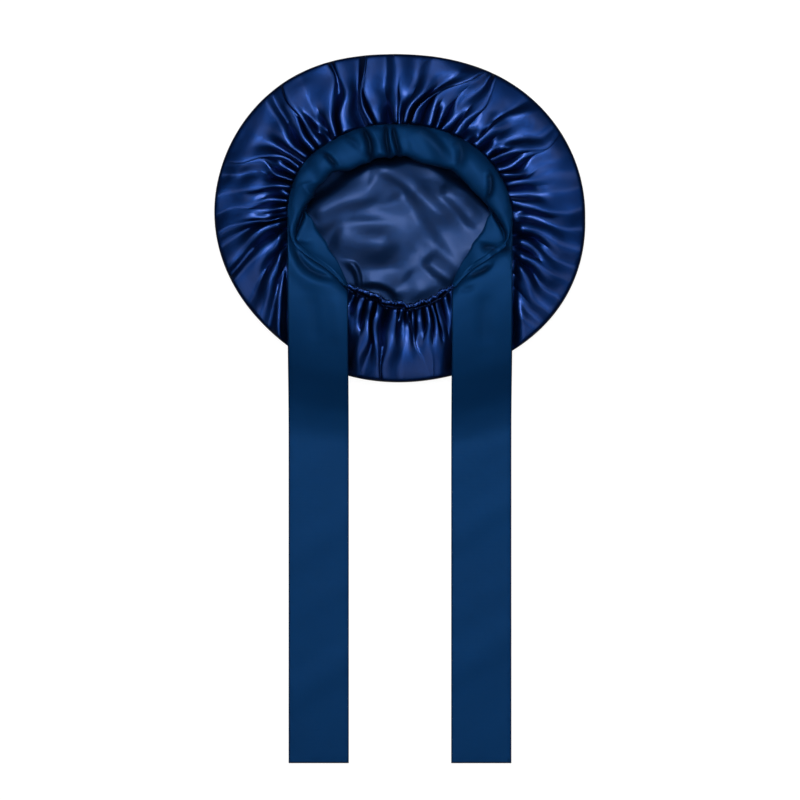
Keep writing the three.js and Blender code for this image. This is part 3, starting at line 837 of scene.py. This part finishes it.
def top_shares():
    """Shares of the way out for the rows of the puffed side."""
    fine = np.linspace(0, 1, 4000)
    steps = np.hypot(np.diff(mix(MEAN_RIM, MEAN_OUTLINE, fine)), np.diff(puff_height(fine)))
    length = np.concatenate([[0], np.cumsum(steps)])
    return np.interp(np.linspace(0, 1, TOP_ROWS) ** ROW_CROWDING * length[-1], length, fine)


def column_counts(angles):
    """Columns from each crest to the next: more on a longer way, and a multiple of 8 in all."""
    gaps = np.diff(np.vstack([angles, angles[:1] + 360]), axis=0).mean(1)
    counts = 2 * np.clip(np.rint(gaps / COLUMN_DEGREES / 2), 2, 8).astype(int)
    counts[np.argmax(gaps)] += -counts.sum() % 8
    return counts


def column_angles(angles, counts):
    """Angles of all columns for each row; every crest and every valley has its own column."""
    ends = np.vstack([angles, angles[:1] + 360])
    columns = []
    for number, count in enumerate(counts):
        valley = CRESTS[number][4]
        half = np.arange(count // 2) / (count // 2)
        share = np.concatenate([half * valley, mix(valley, 1, half)])
        columns.append(mix(ends[number], ends[number + 1], share[:, None]))
    return np.vstack(columns).T


shares = top_shares()
angles, heights = crest_lines(CRESTS, shares)
counts = column_counts(angles)
theta_degrees = column_angles(angles, counts)
print("rows:", len(shares), "and columns:", counts.sum())

# %% [markdown]
# ## The puffed side
# The puff and the ridges add up to the satin that one sees from above. A tie lies heavily on it, so
# the gathers there are pressed nearly flat, and along the tie's outer edge the satin dives under
# it.

# %% Where a tie presses
TIE_MIDDLE = 77
TAPE_WIDTH = 57
PRESS_SIDES = (-2, 9)  # millimetres past a tie's edges over which the gathers come free
PRESS_START = (-8, 12)  # and the same along Y, where the tie starts
TUCK_START = (-45, -25)


def under_tie(x, y):
    """1 where a tie presses the gathers flat, 0 where they are free."""
    off = np.abs(np.abs(x) - TIE_MIDDLE) - TAPE_WIDTH / 2
    return (1 - smooth(*PRESS_SIDES, off)) * (1 - smooth(*PRESS_START, y))


def beside_tie(x, y):
    """1 along a tie's outer edge, where the satin dives under it."""
    off = np.abs(x) - TIE_MIDDLE - TAPE_WIDTH / 2
    return bell(off - 1, 2.5) * (1 - smooth(*TUCK_START, y))


print("each tie covers x from", TIE_MIDDLE - TAPE_WIDTH / 2, "to", TIE_MIDDLE + TAPE_WIDTH / 2, "mm")

# %% Corners of the puffed side
LONG_SHARE = (0.05, 0.9)  # what the long crests make by themselves, at the seam and the outline
LONG_BLEND = (0.2, 0.75)  # shares of the way out between which they take over
RIDGE_LIFT = (0.72, 0.54)  # shares of the crests' heights that the ridges have, near the seam and out
PRESSED = (3.5, 9.5)  # by how much a tie presses the puff down, near the seam and farther out
FARTHER_OUT = (0.1, 0.6)  # shares of the way out between which those two pairs blend
MEAN_LIFT = 3  # taken off, so that ridges and valleys lie about the solid's surface
SEAM_EDGE = 0.014  # share of the way out over which the ridges start
OUTER_EDGE = 0.985  # from here out they end
CHANNEL = 4.5  # millimetres from the nape's ruffle out to where the gathers begin
LEAST_REACH = 2.5  # how far in the gathers begin at least, at the nape
CASING_ENDS = (30, 42)  # degrees from the nape between which that reach ends
FLATTENED = 0.9  # share of the ridges' height that a tie presses out
TUCKED = 3  # how deep the satin dives along a tie's outer edge
STANDING = (1, 6.5)  # millimetres between which a ridge counts as standing


def top_corners(shares, angles, heights, theta_degrees):
    every = ridges(angles, heights, CRESTS, theta_degrees, shares)
    long_crests = [row for row, is_long in zip(CRESTS, LONG) if is_long]
    long = ridges(angles[LONG], heights[LONG], long_crests, theta_degrees, shares)
    small = ridges(*crest_lines(small_crests, shares), small_crests, theta_degrees, shares)
    share, theta = shares[:, None], np.radians(theta_degrees)
    farther = smooth(*FARTHER_OUT, share)
    main = mix(every, long, mix(*LONG_SHARE, smooth(*LONG_BLEND, share)))
    lift = main * mix(*RIDGE_LIFT, farther) + small - MEAN_LIFT
    lift = lift * smooth(0, SEAM_EDGE, share) * (1 - smooth(OUTER_EDGE, 1, share))

    from_nape = (theta_degrees - 90) % 360 - 180
    nape_reach = np.maximum(read_table(CASING_EDGE, from_nape) - CHANNEL, LEAST_REACH)
    nape_reach = nape_reach * (1 - smooth(*CASING_ENDS, np.abs(from_nape)))
    radius = mix(rim_radius(theta) - nape_reach, outline_radius(theta), share)
    x, y = radius * np.cos(theta), radius * np.sin(theta)

    pressed = under_tie(x, y)
    height = mix(puff_height(share), puff_height(share, TIE_ROLL), pressed)
    height = height + lift * (1 - FLATTENED * pressed)
    height = height - seam_dive(theta, share, smooth(*STANDING, main), pressed)
    lower = mix(*PRESSED, farther) * pressed * (1 - smooth(0.88, 1, share))
    height = height - (lower + TUCKED * beside_tie(x, y)) * smooth(0, 0.2, share)
    return np.stack([x, y, height], -1)


top = top_corners(shares, angles, heights, theta_degrees)
print("puffed side up to mm:", round(top[:, :, 2].max(), 1))

# %% [markdown]
# ## The rolled edge and the closed side
# Past the outline the cloth turns under to the table. The closed side is a square grid pressed into
# a disc, so that no fan of triangles shows in its middle.

# %% Edge and closed side
SIDE_ROWS = 8


def side_corners(theta):
    """Rows from the outline down and under to the table, where the columns are evenly spaced."""
    columns = len(theta)
    even = theta[0] + np.arange(columns) * math.tau / columns
    rows = []
    for turn in np.linspace(0, math.pi / 2, SIDE_ROWS + 1)[1:]:
        angle = mix(theta, even, smooth(0, math.pi / 2, turn))
        radius = outline_radius(angle) - EDGE_INSET * (1 - math.cos(turn))
        height = np.full(columns, EDGE_HEIGHT * (1 - math.sin(turn)))
        rows.append(np.stack([radius * np.cos(angle), radius * np.sin(angle), height], -1))
    return np.array(rows)


def disc_corners(edge):
    """A square grid pressed into the disc inside the last row; edge holds that row's corners."""
    columns = len(edge)
    side = columns // 4
    b, a = np.meshgrid(np.linspace(-1, 1, side + 1), np.linspace(-1, 1, side + 1), indexing="ij")
    size = np.maximum(np.abs(a), np.abs(b))
    safe = np.where(size > 0, size, 1)
    right_or_left = np.where(a >= 0, b / safe, 4 - b / safe)
    top_or_bottom = np.where(b >= 0, 2 - a / safe, 6 + a / safe)
    eighths = np.where(np.abs(a) >= np.abs(b), right_or_left, top_or_bottom)
    place = eighths / 8 * columns % columns
    ring = np.vstack([edge, edge[:1]])
    x = np.interp(place, np.arange(columns + 1), ring[:, 0]) * size
    y = np.interp(place, np.arange(columns + 1), ring[:, 1]) * size
    corners = np.stack([x, y, closed_side_height(x, y)], -1)
    return corners, np.rint(place).astype(int) % columns, size > 1 - 1e-9


side = side_corners(np.radians(theta_degrees[-1]))
disc, ring_place, on_edge = disc_corners(side[-1])
print("closed side up to mm:", round(disc[:, :, 2].max(), 1))

# %% [markdown]
# ## The crown in one piece
# Puffed side, edge and closed side share the corners where they meet. The valleys' edges are marked
# as sharp: there the satin is creased shut. Solidify then gives the cloth its wrong side, which
# shows inside the opening.

# %% Crown
CREASED_ROWS = 24
SATIN = 0.4


def crown_mesh(top, side, disc, ring_place, on_edge):
    wall = np.concatenate([top, side])
    first_disc = wall.shape[0] * wall.shape[1]
    numbers = first_disc + np.arange(on_edge.size).reshape(on_edge.shape)
    numbers = np.where(on_edge, first_disc - wall.shape[1] + ring_place, numbers)
    disc_quads = (numbers[:-1, :-1], numbers[1:, :-1], numbers[1:, 1:], numbers[:-1, 1:])
    faces = [
        grid_quads(*wall.shape[:2], closed=True)[:, ::-1],
        np.stack(disc_quads, -1).reshape(-1, 4),
    ]
    return np.concatenate([wall.reshape(-1, 3), disc.reshape(-1, 3)]), np.concatenate(faces)


def crease_valleys(piece, counts):
    """Marks the edges along the valleys' columns as sharp, as far out as they are creased."""
    columns = counts.sum()
    valleys = np.cumsum(counts) - counts + counts // 2
    ends = np.zeros(len(piece.data.edges) * 2, int)
    piece.data.edges.foreach_get("vertices", ends)
    first, second = ends.reshape(-1, 2).T
    same_column = first % columns == second % columns
    near_seam = np.maximum(first, second) < CREASED_ROWS * columns
    sharp = piece.data.attributes.new("sharp_edge", "BOOLEAN", "EDGE")
    in_valley = np.isin(first % columns, valleys)
    sharp.data.foreach_set("value", same_column & near_seam & in_valley)


crown_parts = crown_mesh(top, side, disc, ring_place, on_edge)
crown = make_piece("satin_crown", *crown_parts, [satin, satin_back])
crease_valleys(crown, counts)
thicken(crown, SATIN, inner_material=1)
finish_piece(crown, "crown")

# %% [markdown]
# ## The front band
# The band is a wide tape folded over the opening's edge and rolled inward. Its shape is a row of
# sections, each with eight points from the seam over the top to the hidden hem. At the sides the
# roll narrows to nothing, and the tape turns into a facing that slopes down inside the opening.
# Creases pull across it where it takes up the curve. Little light reaches their floors, so the mesh
# carries an attribute of painted shade that darkens the tape's colour there.

# %% The band's sections, lip and creases
BAND_SECTIONS = [
    # degrees from the forehead, then inward and up from the satin's edge:
    # seam, back, top, brow, lip, tuck, shelf, hem
    (0, -1, 2.4, 5, 8.6, 16, 11.6, 27, 10.5, 31, 4, 29, -4, 26, -9, 22, -13),
    (50, -1, 2.4, 5, 8.6, 15, 11.6, 26, 10.5, 30, 4, 28, -4, 25, -9, 21, -13),
    (68, -1, 2.4, 3.6, 8, 12, 10.2, 20, 9, 24, 3, 22, -5, 21, -10, 20, -14),
    (78, -1, 2.4, 3, 7.2, 9, 8.8, 16, 7.5, 19, 2, 18, -6, 18.6, -10, 20, -14),
    (84, -1, 2.4, 2.4, 6.2, 7, 7.6, 12.5, 6.8, 15.5, 1.5, 15, -14, 15, -12, 15, -14),
    (87, -1, 2.4, 3, 5.5, 7, 7.2, 11, 6.2, 13.8, 1.2, 13.6, -15, 16, -5, 18, -7),
    (90, -1, 2.4, 2.5, 5, 6, 6.5, 9.5, 5.5, 12, 1, 12.3, -14, 16, -3.5, 22, -4.5),
    (96, -1, 2.4, 1, 4, 3, 5, 5.5, 4, 7.5, 0, 8.5, -10, 12, -2.5, 25.5, -4.5),
    (101, -1, 2.4, 0.4, 3.2, 1.4, 3.6, 2.6, 3.2, 3.8, 0.8, 4.8, -2.4, 8.5, -1.4, 27.5, -3.4),
    (104, -1, 2.4, 0.3, 2.9, 1, 3.1, 2, 2.8, 3.6, 1.8, 5.5, 0.6, 10, -0.6, 27.5, -3),
    (109, -1, 2.4, 0.3, 2.8, 1, 3, 2.2, 2.8, 4, 2.2, 6.5, 1.2, 11, 0, 25.5, -2.6),
    (115, -1, 2.4, 0.3, 2.8, 1, 3, 2.2, 2.8, 4, 2.2, 6, 1.3, 10, 0, 19.5, -2.4),
    (126, -1, 2.4, 0.3, 2.8, 1, 3, 2, 2.8, 3.4, 2.3, 5, 1.5, 8, 0.2, 12.5, -2),
    (134, -1, 2.4, 0.3, 2.8, 1, 3, 1.9, 2.8, 2.8, 2.5, 4, 1.9, 6, 0.5, 8.5, -1.6),
    (142, -1, 2.4, 0.3, 2.8, 0.9, 3, 1.6, 2.8, 2.2, 2.6, 3, 2.1, 4, 1, 5, -0.5),
]
LIP_REACH = [  # degrees from +X, millimetres that the lip reaches farther in than its section
    (-14, 0), (-7, 0), (1, 2.5), (10, 6), (20, 7), (29, 4), (38, 1), (43, 0.2), (50, 2.5),
    (63, 2.4), (78, 0), (90, -1.5), (98, -0.5), (113, 0.5), (121, 2.3), (131, 3), (140, 1),
    (147, -3.5), (152, -2), (157, 0.5), (166, -0.5), (180, 0),
]
BAND_CREASES = [
    # start, middle and end in plan, width to the left and right, height (negative for a groove)
    ((-71, 59), (-65, 54.5), (-59, 47), 2, 3, -5),
    ((-52, 75), (-45, 71), (-38, 66), 3, 3, -2.6),
    ((-36, 82), (-28, 69), (-30, 54), 2.8, 4, -6.5),
    ((-29, 83), (-20, 70), (-20, 60), 3, 4, 1.8),
    ((-12, 86), (-12.5, 71), (-8.5, 58), 2.2, 3, -6),
    ((-7, 84), (-4, 72), (1, 57), 2.2, 3, -5.5),
    ((3, 84), (5, 72), (10, 62), 4, 4, 1.5),
    ((11, 84), (28, 74), (45, 51), 6, 7, -3.6),
    ((20, 84), (34, 76), (47, 62), 5, 5, 1.5),
    ((48, 72), (57, 62), (54, 46), 5, 4, -4),
    ((82, 42), (84.6, 31), (82, 17), 2.2, 1.8, -6),
    ((-93, 29), (-88, 31), (-80, 32), 1.5, 2, -1.2),
    ((-87, 28), (-86, 24), (-80, 19), 2, 3, -2),
    ((-98, -22), (-92, -21), (-84, -22), 1.5, 3, 1.6),
    ((77, -27), (84, -28.5), (92, -30), 3.5, 5, -5),
]
print("sections:", len(BAND_SECTIONS), "and creases:", len(BAND_CREASES))

# %% [markdown]
# ## From sections to the band's surface
# The few points of each section become many on a smooth curve, and so do the few sections. A crease
# then moves the surface along its own normals, only where the tape can be seen: over its roll, and
# on the two facings.

# %% Band
BAND_REACH = 142
BAND_STATIONS = 420
BAND_FINE = 5  # points across for each stretch of a section
BAND_WALL = 1.5
LIP_SHARES = (0, 0, 0.35, 0.85, 1, 0.9, 0.7, 0.5)  # how far each point follows the lip's reach
ROLL_START = (0, 0.1)  # shares of the way across between which the creases come in
ROLL_END = (0.6, 0.75)  # and go out
FACING_PLACE = (94, 101)  # degrees from the forehead from which the facings start
FACING_PART = (0.4, 1)
BAND_WAVES = 0.8
BAND_WAVE_LENGTHS = (23, 37)
FOLD_DEPTH = 4.5  # millimetres from which a groove gets the full painted shade
# painted shade: share of the colour that the deepest creases lose
PAINTED_FOLD_SHADE = 0.68
FOLD_POWER = 2.2  # above 1, only the deeper creases get painted shade


def unit_normals(grid):
    """Directions away from a grid's face at its corners."""
    normals = np.cross(np.gradient(grid, axis=0), np.gradient(grid, axis=1))
    return normals / np.maximum(np.linalg.norm(normals, axis=-1, keepdims=True), 1e-9)


def refined(points, pieces):
    """More points on a smooth curve through every row's points."""
    count = points.shape[1]
    one_by_one = np.column_stack([np.arange(count), np.eye(count)])
    weights = read_table(one_by_one, np.linspace(0, count - 1, pieces))
    return np.einsum("fp,spc->sfc", weights, points)


def groove_share(change):
    """0 on the open cloth, 1 on the floor of a deep groove."""
    return np.clip(-change / FOLD_DEPTH, 0, 1) ** FOLD_POWER


def band_corners():
    from_forehead = np.linspace(-BAND_REACH, BAND_REACH, BAND_STATIONS)
    theta = np.radians(90 + from_forehead)
    sections = read_table(BAND_SECTIONS, np.abs(from_forehead)).reshape(BAND_STATIONS, -1, 2)
    from_x = (90 + from_forehead + 180) % 360 - 180
    lip_reach = read_table(LIP_REACH, np.clip(from_x, -14, 180))
    sections[:, :, 0] += lip_reach[:, None] * np.array(LIP_SHARES)
    fine = refined(sections, BAND_FINE * (sections.shape[1] - 1) + 1)
    radius = rim_radius(theta)[:, None] - fine[:, :, 0]
    height = rim_height(theta)[:, None] + fine[:, :, 1]
    x, y = radius * np.cos(theta)[:, None], radius * np.sin(theta)[:, None]
    grid = np.stack([x, y, height], -1)

    across = np.linspace(0, 1, grid.shape[1])
    roll = smooth(*ROLL_START, across) * (1 - smooth(*ROLL_END, across))
    facing = smooth(*FACING_PLACE, np.abs(from_forehead))[:, None] * smooth(*FACING_PART, across)
    seen = np.maximum(roll, facing)
    change = sum(fold_height(x, y, *crease) for crease in BAND_CREASES)
    painted_groove_shade = groove_share(change) * seen
    along, aside = BAND_WAVE_LENGTHS
    change = change + BAND_WAVES * wander(x / along + y / aside, 11)
    grid = grid - unit_normals(grid) * (change * seen)[:, :, None]
    # the second value is painted shade on the creases' floors
    return grid, PAINTED_FOLD_SHADE * painted_groove_shade


def mark_painted_shade(piece, values):
    """Stores each corner's painted shade as the attribute that the tape's material reads."""
    attribute = piece.data.attributes.new("painted_shade", "FLOAT", "POINT")
    attribute.data.foreach_set("value", values.ravel())


band_grid, band_painted_shade = band_corners()
band_faces = grid_quads(*band_grid.shape[:2])[:, ::-1]
band = make_piece("band_cloth", band_grid.reshape(-1, 3), band_faces, [tape])
mark_painted_shade(band, band_painted_shade)
thicken(band, BAND_WALL)
finish_piece(band, "front_band")

# %% [markdown]
# ## The ties
# Past the sides of the opening the tape doubles back over its own edge and runs down as a flat tie.
# It climbs onto the gathers, presses them, falls from the crown's edge and lies flat on the table.
# Its edges are sewn and turned, so they are rounded. They carry the band's attribute of painted shade,
# which darkens their colour at the edges and in creases.

# %% The ties' way and creases
TIE_END = -515
TIE_PATH = [  # distance towards the ties' ends, height of the upper face
    (10, 46.5), (60, 46.5), (90, 43.5), (115, 37.5), (140, 28), (160, 17.5), (182, 7.5), (210, 2.2),
    (515, 1.8),
]
TIE_COLUMNS = np.concatenate([[0, 0.012, 0.03], np.linspace(0.055, 0.945, 31), [0.97, 0.988, 1]])
TIE_ROWS = np.concatenate([np.arange(0, 170, 1.4), np.linspace(171, 417, 60), [418.4, 419.4, 420]])
TIE_CREASES = {
    -1: [
        ((-99.5, -23.5), (-87.3, -46.6), (-61, -57.3), 3.2, 3, -4),
        ((-102, -34), (-91, -55), (-66, -65), 4, 7, 1.8),
        ((-84, -72), (-81, -92), (-79, -118), 7, 7, -1.6),
        ((-60, -72), (-58, -95), (-57, -122), 7, 8, 1.4),
    ],
    1: [
        ((84, -28), (96, -28.5), (110, -31), 5, 4, -5.5),
        ((85, -44), (76, -51), (62, -56), 2, 3.4, -5),
        ((57, -66), (62, -67.5), (69, -66), 2, 2.4, -2),
        ((84, -70), (79, -95), (82, -122), 8, 8, -1.8),
    ],
}
print("a tie's rows:", len(TIE_ROWS), "and columns:", len(TIE_COLUMNS))

# %% Where each tie starts and how high it lies
TIE_START = -0.6  # millimetres outside the opening's edge
EDGE_FALL = (60, 110)  # distance towards the ties' ends over which the crown's edge matters


def tie_start_angle(x):
    """The angle at which a tie starts beside the opening's edge, at a distance from the middle line."""
    angles = np.linspace(math.pi, 1.5 * math.pi, 4000)
    reach = -(rim_radius(angles) + TIE_START) * np.cos(angles)
    return np.interp(-x, -np.maximum.accumulate(reach[::-1])[::-1], angles)


def tie_path_height(x, run):
    """The crown's edge falls away sooner under a tie's outer side, so that side comes down first."""
    def edge(across):
        return CROWN_HALF_DEPTH * np.sqrt(1 - (across / CROWN_HALF_WIDTH) ** 2)

    sooner = 0.5 * (edge(TIE_MIDDLE) - edge(x))
    return read_table(TIE_PATH, run + sooner * smooth(*EDGE_FALL, run))


print("a tie starts at degrees:", round(math.degrees(tie_start_angle(TIE_MIDDLE))))

# %% Ties
TIE_START_HEIGHT = 4.8
TIE_RISE = 5  # how soon it climbs onto the gathers
TIE_WALL = 1.2
TIE_WAVES = 0.35
EDGE_ROUNDING = 0.5
EDGE_BREADTH = (0.6, 1.9)  # millimetres from an edge over which the painted shade of the sewn border fades
# painted shade: share of the colour that the sewn edges lose
PAINTED_EDGE_SHADE = 0.5


def tie_corners(side):
    x = (TIE_MIDDLE + TAPE_WIDTH * (0.5 - TIE_COLUMNS))[None, :]
    theta = tie_start_angle(x)
    start = -(rim_radius(theta) + TIE_START) * np.sin(theta)
    run = mix(start, -TIE_END, TIE_ROWS[:, None] / TIE_ROWS[-1])
    climbed = 1 - np.exp((start - run) / TIE_RISE)
    height = mix(rim_height(theta) + TIE_START_HEIGHT, tie_path_height(x, run), climbed)
    x = np.broadcast_to(side * x, run.shape)
    creases = sum(fold_height(x, -run, *crease) for crease in TIE_CREASES[side])
    along, across = WAVE_LENGTHS
    slow = wander(run / along + x / across, 31 + side) * smooth(10, 40, run - start)
    grid = np.stack([x, -run, height + creases + TIE_WAVES * np.maximum(slow, -0.2)], -1)
    to_side = np.minimum(TIE_COLUMNS, 1 - TIE_COLUMNS)[None, :] * TAPE_WIDTH
    to_end = run[-1:] - run
    to_edge = np.minimum(to_side, to_end)
    grid[:, :, 2] -= EDGE_ROUNDING * np.exp(-to_edge / EDGE_ROUNDING)
    # painted shade: darker colour along the sewn edges and on the creases' floors
    edges = PAINTED_EDGE_SHADE * (1 - smooth(*EDGE_BREADTH, to_edge))
    return grid, np.maximum(edges, PAINTED_FOLD_SHADE * groove_share(creases))


ties = []
for side, node in ((-1, "left_tie"), (1, "right_tie")):
    tie_grid, tie_painted_shade = tie_corners(side)
    tie_faces = grid_quads(*tie_grid.shape[:2])[:, ::side]  # the left one's face the other way
    tie = make_piece(f"{node}_cloth", tie_grid.reshape(-1, 3), tie_faces, [tape])
    mark_painted_shade(tie, tie_painted_shade)
    thicken(tie, TIE_WALL)
    finish_piece(tie, node)
    ties.append(tie)

# %% [markdown]
# ## The nape casing
# At the nape no tape shows. A stitched channel holds the elastic, and the satin stands over it in a
# narrow ruffle. The section runs from the gathers through the channel and over the ruffle to the
# turned hem. Pleats of two sizes crowd it, since the stretched length of this edge is far longer
# than the elastic.

# %% Nape casing
CASING_REACH = 38
CASING_STATIONS = 760
CASING_WALL = 0.35
CASING_SECTION = [  # inward and up from the satin's edge: channel, ruffle, hem
    (2.6, 0.6), (3.6, -3), (4.6, -7), (5.4, -8.5), (6, -4), (6.4, 1), (7, 4.7), (8.5, 5.6),
    (10.1, 5), (10.7, 1), (10.4, -4),
]
CASING_TOP = 8.5  # where the section's own ruffle is
CASING_POINTS = 49
RUFFLE_PLACE = (0.7, 0.12)  # share of the way across where the ruffle waves most, and how broadly
RUFFLES = 34
FINE_PLEATS = 78
RUFFLE_DEPTH = 1.05
PLEAT_DEPTH = 0.3
RUFFLE_RISE = 0.3  # how much a ruffle rises and falls for each millimetre that it waves


def casing_corners():
    share = np.linspace(0, 1, CASING_STATIONS)
    from_nape = CASING_REACH * (2 * share - 1)
    theta = np.radians(270 + from_nape)
    place = np.linspace(0, 1, CASING_POINTS)
    section = refined(np.array([CASING_SECTION], float), CASING_POINTS)[0]
    ruffle = bell(place - RUFFLE_PLACE[0], RUFFLE_PLACE[1])[None, :]
    inner = smooth(0.2, 0.55, place)[None, :]
    path = read_table(CASING_EDGE, from_nape) - CASING_TOP
    scallop = np.sin(math.tau * RUFFLES * share + 1.2 * wander(share * 24, 52))
    pleat = np.sin(math.tau * FINE_PLEATS * share + 1.6 * wander(share * 40, 53))
    size = 1 + 0.4 * wander(share * 26, 54)
    zigzag = ((RUFFLE_DEPTH * scallop + PLEAT_DEPTH * pleat) * size)[:, None]
    inward = section[:, 0] + path[:, None] * inner + zigzag * ruffle
    over = section[:, 1] + RUFFLE_RISE * zigzag * (ruffle + 0.5 * (1 - inner))
    radius = rim_radius(theta)[:, None] - inward
    height = rim_height(theta)[:, None] + over
    x, y = radius * np.cos(theta)[:, None], radius * np.sin(theta)[:, None]
    return np.stack([x, y, height], -1)


casing_grid = casing_corners()
casing_faces = grid_quads(*casing_grid.shape[:2])[:, ::-1]
casing = make_piece("casing_cloth", casing_grid.reshape(-1, 3), casing_faces, [satin, satin_back])
thicken(casing, CASING_WALL, inner_material=1)
finish_piece(casing, "nape_casing")

# %% [markdown]
# ## Cloth areas and the end
# Each cloth piece's area is printed, for one of its faces. The crown is cut from a round of about 56
# cm, and the gathers take up what its outline doesn't show. Band and ties are made of the same tape,
# as wide as the ties are. The casing is a narrow strip, stretched out half as long again as the
# elastic leaves it.


def face_area(piece):
    """Area of one face of a thin closed sheet, in square metres."""
    return sum(polygon.area for polygon in piece.data.polygons) / 2


for piece in (crown, band, casing, *ties):
    print(piece.name, "area in m2:", round(face_area(piece), 4))
